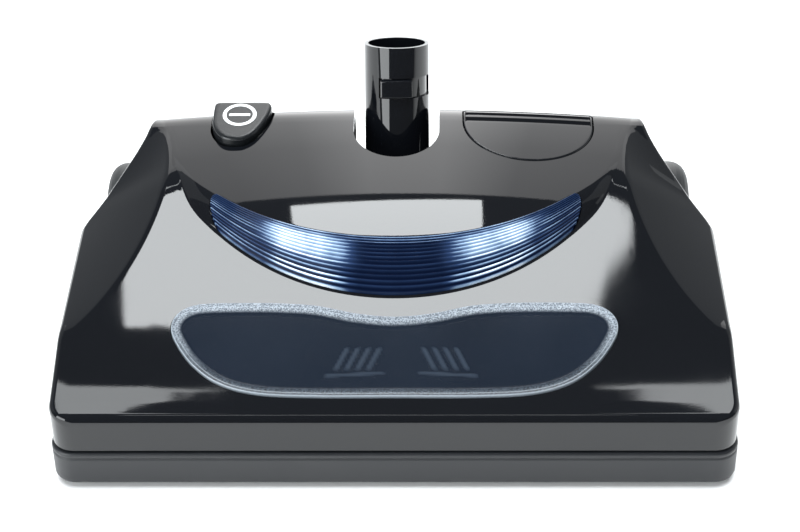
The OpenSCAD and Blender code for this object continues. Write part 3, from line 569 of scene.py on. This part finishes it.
def ribbed_lens():
    """Blue lens with a painted reflection: the silver reflectors behind it are painted in as
    light, brightest on the crests of its ribs.
    """
    material, tree, shader = new_material("lens_blue")
    # Noise that makes the painted reflection uneven
    streak = ramp(tree, add_noise(tree, 70, 3), 0.75, 1.2)
    painted_bright = tree.nodes.new("ShaderNodeMath")
    painted_bright.operation = "MULTIPLY"
    tree.links.new(mask(tree, "painted_shine"), painted_bright.inputs[0])
    tree.links.new(streak, painted_bright.inputs[1])
    # Colours from the navy of the lens up to a painted highlight near white
    stops = [
        (0.0, (0.0015, 0.004, 0.015)),
        (0.25, (0.02, 0.04, 0.1)),
        (0.55, (0.25, 0.36, 0.52)),
        (0.9, (0.85, 0.93, 1.0)),
    ]
    tone = colour_curve(tree, painted_bright.outputs["Value"], stops)
    tree.links.new(tone, shader.inputs["Base Color"])
    tree.links.new(ramp(tree, add_noise(tree, 40), 0.06, 0.16), shader.inputs["Roughness"])
    add_bump(tree, shader, add_noise(tree, 700, 2), 0.01, 0.4)
    shader.inputs["Specular IOR Level"].default_value = 0.06
    return material


SMOKE = smoked_window()
LENS = ribbed_lens()
BULB = clear_glass("bulb_glass", (0.95, 0.93, 0.86))

SLOT_MATERIALS = {
    "gloss_black": GLOSS,
    "dark_grey": DARK,
    "window_smoke": SMOKE,
    "lens_blue": LENS,
    "reflector_silver": MIRROR,
    "bulb_glass": BULB,
    "ivory": IVORY,
    "steel": STEEL,
    "rubber": BUMPER,
    "tyre": TYRE,
    "bristle": BRISTLE,
    "white_print": WHITE,
    "copper": COPPER,
    "brass": BRASS,
    "board_green": BOARD,
    "component_blue": PARTS,
    "wire_red": WIRE,
}
for part in frame["record"]["subparts"]:
    mesh = nodes[part["node"]].data
    mesh.materials.clear()
    mesh.materials.append(SLOT_MATERIALS[part["material_slot"]])


# ---------- Hood ----------

WINDOW_HALF = [
    (0, -105.3), (40, -105.3), (70, -103.6), (90, -97.5), (104, -86.5), (113.5, -73),
    (117, -63), (113.5, -54.5), (104, -49.6), (85, -48.6), (60, -48.8), (40, -50.5),
    (20, -55),
]
window_outline = closed_spline(
    WINDOW_HALF + [(0, -57)] + [(-x, y) for x, y in WINDOW_HALF[:0:-1]]
)

LENS_HALF = 100.5
LENS_END_R = 6.0
LENS_BACK = 0.9
LENS_MARGIN = 0.5


def lens_point(s, t):
    """Point of the headlight crescent: s from tip to tip, t from the foot to the top."""
    end = LENS_END_R * (1 - math.sqrt(max(0, 1 - (2 * t - 1) ** 2)))
    x = math.sin(s * math.pi / 2) * (LENS_HALF - end)
    return x, float(foot_y(x)) + LENS_BACK + t * (float(band_w(x)) - LENS_MARGIN)


def lens_outline(grow):
    """Crescent of the headlight, anticlockwise, moved out by grow."""
    rise = (1 - np.cos(np.linspace(0, math.pi, 15))) / 2
    low = [lens_point(s, 0) for s in np.linspace(-1, 1, 61)]
    right = [lens_point(1, t) for t in rise[1:-1]]
    high = [lens_point(s, 1) for s in np.linspace(1, -1, 61)]
    left = [lens_point(-1, t) for t in rise[-2:0:-1]]
    return inward(np.array(low + right + high + left), -grow)


rel_lo, rel_hi = node_box("release_pedal")
REL_X = (rel_lo[0] + rel_hi[0]) / 2
REL_HALF = (rel_hi[0] - rel_lo[0]) / 2
# Rear edge, where the sides turn into the arc, and the arc's front
REL_REAR, REL_BREAK, REL_FRONT = 84.5, 72.0, 39.5


def release_outline():
    """D shape of the release pedal, anticlockwise."""
    arc = [
        (
            REL_X + REL_HALF * math.cos(a),
            REL_BREAK + (REL_BREAK - REL_FRONT) * math.sin(a),
        )
        for a in np.linspace(math.pi, 2 * math.pi, 49)
    ]
    up = [(REL_X + REL_HALF, y) for y in np.linspace(REL_BREAK, REL_REAR - 2, 5)[1:]]
    back = [(x, REL_REAR) for x in np.linspace(REL_X + REL_HALF - 2, REL_X - REL_HALF + 2, 25)]
    down = [(REL_X - REL_HALF, y) for y in np.linspace(REL_REAR - 2, REL_BREAK, 5)[:-1]]
    return np.array(arc + up + back + down)


PEDAL_X, PEDAL_Y, PEDAL_SLOPE = -87.2, 70.6, math.radians(6)
PEDAL_PROUD = 5.2


def power_outline():
    """Shield shape of the power pedal about its own centre, anticlockwise."""
    points = [
        (-16.2, 12), (-16.4, 4), (-16.2, -3), (-13.6, -10), (-9, -14.8), (-3, -16.3),
        (2, -15.8), (7.3, -11.8), (11.4, -5), (15, 4), (16.4, 10), (15.8, 14.8),
        (12.5, 16.5), (0, 16.6), (-12.5, 16.5), (-15.6, 15),
    ]
    return closed_spline(points, 6)


NOTCH_HALF, NOTCH_Y = 24.0, 40.6


def notch_outline(rear):
    """Opening for the neck, anticlockwise, from the straight rear round the front."""
    front = [
        (
            NOTCH_HALF * math.cos(a),
            NOTCH_Y + NOTCH_HALF + NOTCH_HALF * math.sin(a),
        )
        for a in np.linspace(math.pi, 2 * math.pi, 41)
    ]
    return np.array(front + [(NOTCH_HALF, rear), (-NOTCH_HALF, rear)])


FRONT_LAST = FRONT_Y + 12
REAR_START = REAR_Y - REAR_EDGE_R
# Least width of the side strip, and how softly the crease column gives way to it
FLANK_MIN, FLANK_SOFT = 8, 1.5
# Room that the rows at the dome's foot and top leave before the rear rounding
FOOT_ROOM, TOP_ROOM = 6, 2


def column_x(u, y):
    """Across the skin: 0 at the middle, 1 on the crease, 2 where the rim starts, 3 at the side."""
    e = side_x(y)
    spare = e - FLANK_MIN - crease_x(y)
    c = e - FLANK_MIN - (spare + np.hypot(spare, FLANK_SOFT)) / 2
    a = np.abs(u)
    flank = c + (np.clip(a, 1, 2) - 1) * (e - EDGE_R - c)
    rim = EDGE_R * np.sin((np.clip(a, 2, 3) - 2) * math.pi / 2)
    return np.sign(u) * np.where(a <= 1, a * c, flank + rim)


def bent_row(u, s):
    """Row that follows the dome's foot: s is -1 in front, 0 on the foot, 1 on the top, 2 behind.

    y and x depend on each other, so the row settles by repeated steps.
    """
    y = np.zeros(len(u))
    for _ in range(40):
        reach = np.minimum(np.abs(column_x(u, y)), CREASE_HALF_W)
        foot = np.minimum(foot_y(reach), REAR_START - FOOT_ROOM)
        top = np.minimum(foot + band_w(reach), REAR_START - TOP_ROOM)
        if s <= 0:
            goal = FRONT_LAST + (foot - FRONT_LAST) * (1 + s)
        elif s <= 1:
            goal = foot + (top - foot) * s
        else:
            goal = top + (REAR_START - top) * (s - 1)
        y = 0.6 * y + 0.4 * goal
    return y


def skin_points(inset):
    """Rows and columns of the skin; fine at the rims, the crease and the dome's foot."""
    half = np.concatenate(
        [
            np.linspace(0, 0.93, 62),
            np.linspace(0.94, 1.06, 13)[:-1],
            np.linspace(1.06, 2, 22),
            np.linspace(2, 3, 9)[1:],
        ]
    )
    u = np.concatenate([-half[:0:-1], half])
    rim = 1 - np.cos(np.linspace(0, math.pi / 2, 9))
    front = np.concatenate([EDGE_R * rim, [4.5, 6, 8, 10, 12]]) + FRONT_Y
    sweep = np.concatenate([np.linspace(-0.96, -0.02, 36), np.linspace(0, 2, 54)])
    rear = REAR_Y - REAR_EDGE_R * (1 - np.sin(np.linspace(0, math.pi / 2, 15)[1:]))
    rows = [np.full(len(u), y) for y in front]
    rows += [bent_row(u, s) for s in sweep]
    rows += [np.full(len(u), y) for y in rear]
    ys = np.array(rows)
    xs = column_x(u, ys)
    squeeze = (REAR_Y - FRONT_Y - 2 * inset) / (REAR_Y - FRONT_Y)
    e = side_x(ys)
    x = xs * (e - inset) / e
    y = FRONT_Y + inset + (ys - FRONT_Y) * squeeze
    return np.stack([x, y, skin_z(xs, ys) - inset * 1.06], 2)


def hood_solid():
    """Closed shell: the skin, its inner face, and the wall down to a chamfered lower edge."""
    outer, inner = skin_points(0), skin_points(SKIN)
    rows, cols, _ = outer.shape
    verts = list(outer.reshape(-1, 3)) + list(inner.reshape(-1, 3))
    count = rows * cols
    edge = perimeter(rows, cols)
    loops = [edge]
    chamfer = 0.5
    for drop, pull in ((chamfer, 0), (0, chamfer)):
        loop = []
        for i in edge:
            p, q = verts[i], verts[count + i]
            direction = np.array([q[0] - p[0], q[1] - p[1], 0])
            length = max(np.linalg.norm(direction), 1e-6)
            loop.append(len(verts))
            verts.append((*(p[:2] + direction[:2] / length * pull), HOOD_Z0 + drop))
        loops.append(loop)
    bottom = []
    for i in edge:
        bottom.append(len(verts))
        verts.append((*verts[count + i][:2], HOOD_Z0))
    loops += [bottom, [count + i for i in edge]]
    faces = layer_faces(rows, cols)
    for loop_a, loop_b in zip(loops, loops[1:]):
        faces += joined(loop_a, loop_b)
    return make_mesh("hood_shell", verts, faces, GLOSS)


def hood_cutters():
    """Openings for the window, lens, foot controls, neck, wheels, axles and inlet."""
    axle_lo, axle_hi = node_box("left_axle")
    axle_y, axle_z = (axle_lo[1] + axle_hi[1]) / 2, (axle_lo[2] + axle_hi[2]) / 2
    wheel_lo, wheel_hi = node_box("right_tyre")
    inlet_lo, inlet_hi = node_box("power_inlet")
    arch_r = (wheel_hi[2] - wheel_lo[2]) / 2 + 3
    arch_in = wheel_lo[0] - 3.5
    arch_out = HOOD_HALF_W + 5
    # Cutters run from under the part that they open up to above the hood
    above, below, below_lens, below_release = 140, 20, 40, 60
    slot = 5.0
    slot_xs = (120, 140)
    cutters = [
        prism(inward(window_outline, -0.5), below, above),
        prism(lens_outline(0.5), below_lens, above),
        prism(inward(release_outline(), -0.55), below_release, above),
        prism(notch_outline(REAR_Y + 10), below, above),
        disc_cutter(arch_in, arch_out, axle_y, axle_z, arch_r),
        disc_cutter(-arch_out, -arch_in, axle_y, axle_z, arch_r),
    ]
    for side in (-1, 1):
        xs = sorted(side * x for x in slot_xs)
        outline = rectangle(*xs, axle_y - slot, axle_y + slot)
        cutters.append(prism(outline, below, axle_z + slot))
    inlet = rectangle(inlet_lo[0] - 1, inlet_hi[0] + 1, REAR_Y - 12, REAR_Y + 5)
    cutters.append(prism(inlet, inlet_lo[2] - 1, inlet_hi[2] + 1))
    pedal = prism(inward(power_outline(), -1.3), -25, 35)
    pedal.transform(power_matrix())
    return cutters + [pedal]


def build_hood():
    """The hood's shell with its openings cut out."""
    hood = hood_solid()
    cut(hood, hood_cutters())
    hood.data.shade_smooth()
    hood.data.set_sharp_from_angle(angle=math.radians(SHARP_DEG))
    smooth = hood.modifiers.new("smooth", "WEIGHTED_NORMAL")
    smooth.keep_sharp = True
    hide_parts("hood")


def power_matrix():
    """From the power pedal's own frame, in metres, to the row frame."""
    place = Vector((PEDAL_X, PEDAL_Y, float(crown_top(PEDAL_X, PEDAL_Y)))) * MM
    return Matrix.Translation(place) @ Matrix.Rotation(PEDAL_SLOPE, 4, "X")


build_hood()


# ---------- Window, lens and reflector ----------


def edge_distance(outline, x, y):
    """Shortest distance from a point to the corners of a dense outline."""
    return float(np.min(np.hypot(outline[:, 0] - x, outline[:, 1] - y)))


def paint(obj, name, value):
    """Stores value(x, y) in millimetres on every point, for the material to read."""
    layer = obj.data.attributes.new(name, "FLOAT", "POINT")
    values = [value(v.co.x / MM, v.co.y / MM) for v in obj.data.vertices]
    layer.data.foreach_set("value", values)


# Ribs in the window: how far out the first one is, their spacing, their middle and height
RIB_FIRST, RIB_PITCH, RIB_CENTRE, RIB_RISE = 13.8, 5.6, 4.0, 0.3
FROST_W = 5.2
EDGE_SCALE = 10.0


def plateau(offset, half):
    """1 near the middle of a band of this half width, falling smoothly to 0 outside it."""
    return math.exp(-((offset / half) ** 4))


def window_relief(x, y):
    """Slanted ribs each side of the middle, with a slim bar in front of them."""
    out = abs(x - RIB_CENTRE)
    lift = 0.0
    near = float(np.clip(min(y + 89, -75 - y), 0, 1))
    for k in range(4):
        middle = RIB_FIRST + RIB_PITCH * k - (y + 81) * 0.45
        lift += near * plateau(out - middle, 1.25)
    bar = float(np.clip(min(out - 8, 40 - out) / 2.0, 0, 1))
    return min(1.0, lift + bar * plateau(y + 91.5 + (out - 24) * 0.06, 0.8))


def build_window():
    """The pane, with its raised border and faint ribs."""
    profile = [
        (0, -SKIN), (0, 0.3), (0.15, 0.9), (0.4, 1.1), (0.9, 1.0), (1.6, 0.75),
        (2.4, 0.6), (3.4, 0.5), (4.4, 0.45), (FROST_W, 0.4), (FROST_W + 0.7, 0.15),
    ]
    pane = plate(
        "brush_window_pane", window_outline, profile, lambda x, y: float(ramp_z(y)), SMOKE,
        1.1, relief=lambda x, y: RIB_RISE * window_relief(x, y),
    )
    paint(pane, "edge", lambda x, y: edge_distance(window_outline, x, y) / EDGE_SCALE)
    paint(pane, "ribs", window_relief)
    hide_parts("brush_window")


LENS_RIBS = 14
# Strength of the painted reflection on each rib, drawn at random
RIB_PAINTED_SHINE = 0.35 + 0.65 * RNG.random(LENS_RIBS + 1)
# The two zones of painted reflection, in front of the reflectors: their middle, how far out they
# are, and their half width
BOWL_CENTRE, BOWL_X, BOWL_HALF = 3, 51, 24


def painted_reflector_shine(x, y):
    """Strength of the painted reflection: two reflector zones, strongest on the crests of the
    ribs.
    """
    t = (y - float(foot_y(x)) - LENS_BACK) / (float(band_w(x)) - LENS_MARGIN)
    t = min(0.999, max(0, t))
    level = RIB_PAINTED_SHINE[int(t * LENS_RIBS + 0.5)]
    crest = (0.5 + 0.5 * math.cos(2 * math.pi * LENS_RIBS * t)) ** 2
    bowl = plateau(abs(x - BOWL_CENTRE) - BOWL_X, BOWL_HALF)
    solid = bowl * plateau(t - 0.6, 0.28)
    upper_lines = 0.75 * math.exp(-((x / 88) ** 6)) * (t > 0.78)
    end_lines = 0.5 * (abs(x) > 60)
    lines = max(bowl, upper_lines, end_lines, 0.12)
    return max(solid * (0.48 + 0.42 * crest), lines * level * crest)


def build_lens():
    """Ribbed crescent: ribs run along its length and die out at the tips."""
    along, across = 161, LENS_RIBS * 8 + 1
    proud, sunk, rib_rise = 1.0, 1.3, 0.34
    verts = []
    for outer in (True, False):
        for i in range(across):
            t = i / (across - 1)
            edge = min(1, min(t, 1 - t) * 12)
            wave = math.cos(2 * math.pi * LENS_RIBS * t)
            for j in range(along):
                s = j / (along - 1) * 2 - 1
                x, y = lens_point(s, t)
                tip = math.sqrt(max(0, 1 - abs(s) ** 30))
                lift = -sunk * tip
                if outer:
                    lift = proud * tip * math.sqrt(max(edge * (2 - edge), 0))
                    lift += rib_rise * wave * edge * tip
                verts.append((x, y, float(skin_z(x, y)) + lift))
    lens = make_mesh("headlight_lens_ribbed", verts, slab_faces(across, along), LENS, 60)
    # Paints the reflection of the silver reflectors onto the lens's points
    paint(lens, "painted_shine", painted_reflector_shine)
    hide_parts("headlight_lens")


build_window()
build_lens()


# ---------- Foot controls ----------


def build_power_pedal():
    """Round-edged shield that stands proud of the hood."""
    top = PEDAL_PROUD
    rings = [(0, -3.5), (0, top - 1.6), (0.3, top - 0.75), (0.9, top - 0.2), (1.7, top), (3, top)]
    pedal = plate(
        "power_pedal_moulded", power_outline(), rings, lambda x, y: 0.0, PEDAL, 4,
        body="power_button",
    )
    pedal.data.transform(power_matrix())
    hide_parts("power_pedal")


GROOVE_DEPTH, GROOVE_HALF, GROOVE_YS = 1.4, 1.25, (74.8, 80.2)


def groove_relief(x, y):
    """Two straight grip grooves near the rear of the release pedal."""
    return -sum(GROOVE_DEPTH * plateau(y - middle, GROOVE_HALF) for middle in GROOVE_YS)


def build_release_pedal():
    """D-shaped pedal that lies flush in the hood."""
    rings = [(0, -SKIN), (0, -0.7), (0.2, -0.3), (0.6, -0.06), (1.1, 0)]
    pedal = plate(
        "release_pedal_moulded", release_outline(), rings, lambda x, y: float(skin_z(x, y)),
        GLOSS, 0.9, body="release", relief=groove_relief,
    )
    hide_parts("release_pedal")


NECK_TILT = math.radians(21.5)
NECK_PIVOT = Vector((0, 68.0, 44.0)) * MM
SLIDER_TURN = math.radians(25)


def build_slider():
    """Rounded block that hugs the neck tube and turns round it."""
    tube_r, rise, sunk, height, middle = 18.3, 2.9, 1.2, 10.4, 72.4
    edge, flatness, rows, cols = 0.9, 0.4, 33, 61
    verts = []
    for outer in (True, False):
        for i in range(rows):
            v = (i / (rows - 1) - 0.5) * height
            for j in range(cols):
                a = (j / (cols - 1) * 2 - 1) * SLIDER_TURN
                inside = min(height / 2 - abs(v), (SLIDER_TURN - abs(a)) * (tube_r + rise))
                face = (tube_r + rise) * (1 + flatness * (1 / math.cos(a) - 1))
                r = face - float(rim_drop(inside, edge)) if outer else tube_r - sunk
                verts.append((r * math.sin(a), -r * math.cos(a), middle + v))
    faces = slab_faces(rows, cols)
    slider = make_mesh("wand_lock_moulded", verts, faces, GLOSS, 50, body="wand_lock")
    slider.data.transform(Matrix.Translation(NECK_PIVOT) @ Matrix.Rotation(-NECK_TILT, 4, "X"))
    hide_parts("wand_lock_slider")


build_slider()
build_power_pedal()
build_release_pedal()


# ---------- Bumper ----------


def bumper_path():
    """Outer edge of the bumper in plan, from the left rear round the front to the right rear."""
    half, front, back = bumper_hi[0], bumper_lo[1], bumper_hi[1]
    r = CORNER_R
    turns = np.linspace(0, math.pi / 2, 16)[1:]
    left = [(-half, y) for y in np.linspace(back, front + r, 40)]
    arc_left = [(-half + r - r * math.cos(a), front + r - r * math.sin(a)) for a in turns]
    across = [(x, front) for x in np.linspace(-half + r, half - r, 80)[1:]]
    arc_right = [(half - r + r * math.sin(a), front + r - r * math.cos(a)) for a in turns]
    right = [(half, y) for y in np.linspace(front + r, back, 40)[1:]]
    return np.array(left + arc_left + across + arc_right + right)


def build_bumper():
    """Soft band with rounded edges and a slim groove under its upper edge."""
    path = bumper_path()
    ahead = np.gradient(path, axis=0)
    normal = np.stack([-ahead[:, 1], ahead[:, 0]], 1)
    normal /= np.linalg.norm(normal, axis=1)[:, None]
    z0, z1 = bumper_lo[2], bumper_hi[2]
    profile = [(5.0, z0), (1.4, z0), (0.4, z0 + 0.4), (0, z0 + 1.4)]
    profile += [(0, z) for z in np.linspace(z0 + 4, z1 - 5, 5)]
    profile += [(0, z1 - 4.2), (0.5, z1 - 3.7), (0.5, z1 - 3.1), (0, z1 - 2.6)]
    profile += [(0, z1 - 1.3), (0.4, z1 - 0.4), (1.3, z1), (5.0, z1)]
    n = len(profile)
    verts = [(*(p + k * d), z) for p, k in zip(path, normal) for d, z in profile]
    faces = grid_faces(len(path), n, wrap=True)
    faces += [tuple(range(n))[::-1], tuple(range((len(path) - 1) * n, len(path) * n))]
    bumper = make_mesh("furniture_bumper_moulded", verts, faces, BUMPER, 50)
    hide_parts("furniture_bumper")


build_bumper()


# ---------- Bristles ----------


def build_bristles():
    """Each tuft is a spray of tapered filaments set in the core along two helical rows."""
    core_lo, core_hi = node_box("brush_core")
    core_r = (core_hi[2] - core_lo[2]) / 2
    axis_y, axis_z = (core_lo[1] + core_hi[1]) / 2, (core_lo[2] + core_hi[2]) / 2
    tips_lo, tips_hi = node_box("brush_bristles")
    tip_r = (tips_hi[2] - tips_lo[2]) / 2 - 0.2
    tufts_in_row, filaments, sides = 35, 26, 5
    tuft_r, spread, root_r, end_r = 1.4, 1.5, 0.16, 0.11
    helix_start, helix_rate = 40, 1.05
    end = core_hi[0] - 8
    right = np.array([1, 0, 0])
    verts, faces = [], []
    for row in (0, 180):
        for k in range(tufts_in_row):
            x = -end + 2 * end * k / (tufts_in_row - 1)
            angle = math.radians(row + helix_rate * abs(x) + helix_start)
            out = np.array([0, -math.sin(angle), math.cos(angle)])
            turn = np.array([0, -math.cos(angle), -math.sin(angle)])
            base = np.array([x, axis_y, axis_z])
            for _ in range(filaments):
                radius, spin = tuft_r * math.sqrt(RNG.random()), RNG.random() * 2 * math.pi
                aside = right * radius * math.cos(spin) + turn * radius * math.sin(spin)
                root = base + out * (core_r - 1) + aside
                tip = base + out * (tip_r - RNG.random() * 0.9) + aside * spread
                start = len(verts)
                for point, r in ((root, root_r), (tip, end_r)):
                    for i in range(sides):
                        a = 2 * math.pi * i / sides
                        verts.append(point + r * (math.cos(a) * right + math.sin(a) * turn))
                faces += grid_faces(2, sides, wrap=True, start=start)
                faces.append(tuple(range(start + sides, start + 2 * sides)))
    tufts = make_mesh("brush_tufts", verts, faces, BRISTLE, body="brush")
    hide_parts("brush_bristles")


build_bristles()


# ---------- Floor, light and camera ----------

COOL_WHITE = (0.95, 0.985, 1)


def stage_card(name, corners, material):
    """Flat piece of the studio, which isn't part of the object; lengths in metres."""
    mesh = bpy.data.meshes.new(name)
    mesh.from_pydata(corners, [], [tuple(range(len(corners)))])
    mesh.materials.append(material)
    card = bpy.data.objects.new(name, mesh)
    bpy.context.scene.collection.objects.link(card)


def build_floor():
    """Plain pale floor with the faintest unevenness."""
    material, tree, shader = new_material("pale_floor")
    tone = blend(tree, add_noise(tree, 3, 3), (0.9, 0.9, 0.9), (0.93, 0.93, 0.93))
    tree.links.new(tone, shader.inputs["Base Color"])
    shader.inputs["Roughness"].default_value = 0.9
    half = 6
    corners = [(x, y, 0) for x, y in rectangle(-half, half, -half, half)]
    stage_card("floor", corners, material)


build_floor()

world = bpy.data.worlds.new("studio")
world.use_nodes = True
world.node_tree.nodes["Background"].inputs["Color"].default_value = (0.92, 0.96, 1.0, 1)
world.node_tree.nodes["Background"].inputs["Strength"].default_value = 0.16
bpy.context.scene.world = world


def softbox(name, place, aim, size, radiance, mirrored=True):
    """Rectangular light whose brightness is given per unit of area."""
    light = bpy.data.lights.new(name, "AREA")
    light.shape = "RECTANGLE"
    light.size, light.size_y = size
    light.energy = radiance * size[0] * size[1] * math.pi
    light.color = COOL_WHITE
    obj = bpy.data.objects.new(name, light)
    obj.location = place
    obj.rotation_euler = (Vector(aim) - Vector(place)).to_track_quat("-Z", "Y").to_euler()
    obj.visible_glossy = mirrored
    bpy.context.scene.collection.objects.link(obj)


def glowing_material(name, strength):
    """Material that only gives light, its node tree and its emission node."""
    material = bpy.data.materials.new(name)
    material.use_nodes = True
    tree = material.node_tree
    tree.nodes.remove(tree.nodes["Principled BSDF"])
    emission = tree.nodes.new("ShaderNodeEmission")
    emission.inputs["Strength"].default_value = strength
    tree.links.new(emission.outputs["Emission"], tree.nodes["Material Output"].inputs["Surface"])
    return material, tree, emission


def ceiling_card(name, height, radiance, corners):
    """Card of even brightness lying flat above the head."""
    material, _, emission = glowing_material(name, radiance)
    emission.inputs["Color"].default_value = (*COOL_WHITE, 1)
    stage_card(name, [(x, y, height) for x, y in corners], material)


def build_wall():
    """Softly graded card behind the head, brighter in the middle."""
    half_w, high, back = 2.4, 4.95, 4.0
    material, tree, emission = glowing_material("wall_card", 4.8)
    axes = object_axes(tree)
    across = curve(
        tree,
        ramp(tree, axes["X"], 0, 1, -half_w, half_w),
        [
            (0.0, 0.4), (0.26, 0.5), (0.36, 0.64), (0.44, 1.0),
            (0.54, 1.0), (0.64, 0.56), (0.74, 0.5), (1.0, 0.4),
        ],
    )
    upward = curve(
        tree,
        ramp(tree, axes["Z"], 0, 1, 0, high),
        [(0.0, 0.9), (0.3, 1.0), (0.66, 1.0), (0.72, 0.85), (0.8, 0.7), (1.0, 0.62)],
    )
    product = tree.nodes.new("ShaderNodeVectorMath")
    product.operation = "MULTIPLY"
    tree.links.new(across, product.inputs[0])
    tree.links.new(upward, product.inputs[1])
    tree.links.new(product.outputs["Vector"], emission.inputs["Color"])
    corners = [(x, back, z) for x, z in rectangle(-half_w, half_w, 0, high)]
    stage_card("wall_card", corners, material)


ceiling_card(
    "overhead", 6.0, 13.0,
    [(-1.09, 1.7), (0.72, 1.7), (0.72, 1.77), (0.63, 1.79), (0.52, 1.86), (-1.07, 1.86)],
)
ceiling_card(
    "left_wedge", 4.0, 5.6,
    [(-0.95, 1.37), (-0.91, 1.4), (-0.49, 1.41), (-0.64, 1.425), (-0.76, 1.47), (-0.95, 1.58)],
)
ceiling_card(
    "right_wedge", 4.0, 6.2,
    [(0.42, 1.4), (0.75, 1.39), (0.8, 1.36), (0.8, 1.53), (0.7, 1.465), (0.54, 1.42)],
)
softbox("dome_patch", (-0.11, 2.37, 3.33), (0, 0, 0.08), (0.88, 0.34), 12.5)
softbox("left_strip", (-2.0, -1.75, 1.0), (0, 0.1, 0.1), (2.2, 1.8), 6.5)
softbox("left_side", (-3.4, 2.2, 2.0), (0, 0, 0.05), (4.6, 4.4), 0.3)
softbox("right_side", (3.4, 2.2, 2.0), (0, 0, 0.05), (4.6, 4.4), 0.3)
softbox("right_card", (3.0, 0.8, 0.9), (0, 0.1, 0.1), (2.2, 1.8), 0.5)
softbox("floor_fill", (0, 0, 3.0), (0, 0, 0), (3.0, 3.0), 6.5, mirrored=False)
softbox("top_fill", (-0.15, 1.05, 6.0), (-0.15, 1.05, 0), (1.76, 1.1), 12.0, mirrored=False)
build_wall()

# Camera: angles, distance from the point it aims at, and focal length
ELEVATION = math.radians(38)
AZIMUTH = math.radians(1.2)
ROLL = math.radians(-0.85)
DISTANCE = 1.150
FOCAL = 93.8
AIM = Vector((0.0021, 0.004, 0.050))
TOWARD = Vector(
    (
        math.cos(ELEVATION) * math.sin(AZIMUTH),
        -math.cos(ELEVATION) * math.cos(AZIMUTH),
        math.sin(ELEVATION),
    )
)
camera_data = bpy.data.cameras.new("camera")
camera_data.lens = FOCAL
camera = bpy.data.objects.new("camera", camera_data)
camera.location = AIM + DISTANCE * TOWARD
look = (AIM - camera.location).to_track_quat("-Z", "Y")
camera.rotation_euler = (look @ Quaternion((0, 0, 1), ROLL)).to_euler()
bpy.context.scene.collection.objects.link(camera)
bpy.context.scene.camera = camera
bpy.context.scene.view_settings.view_transform = "Standard"
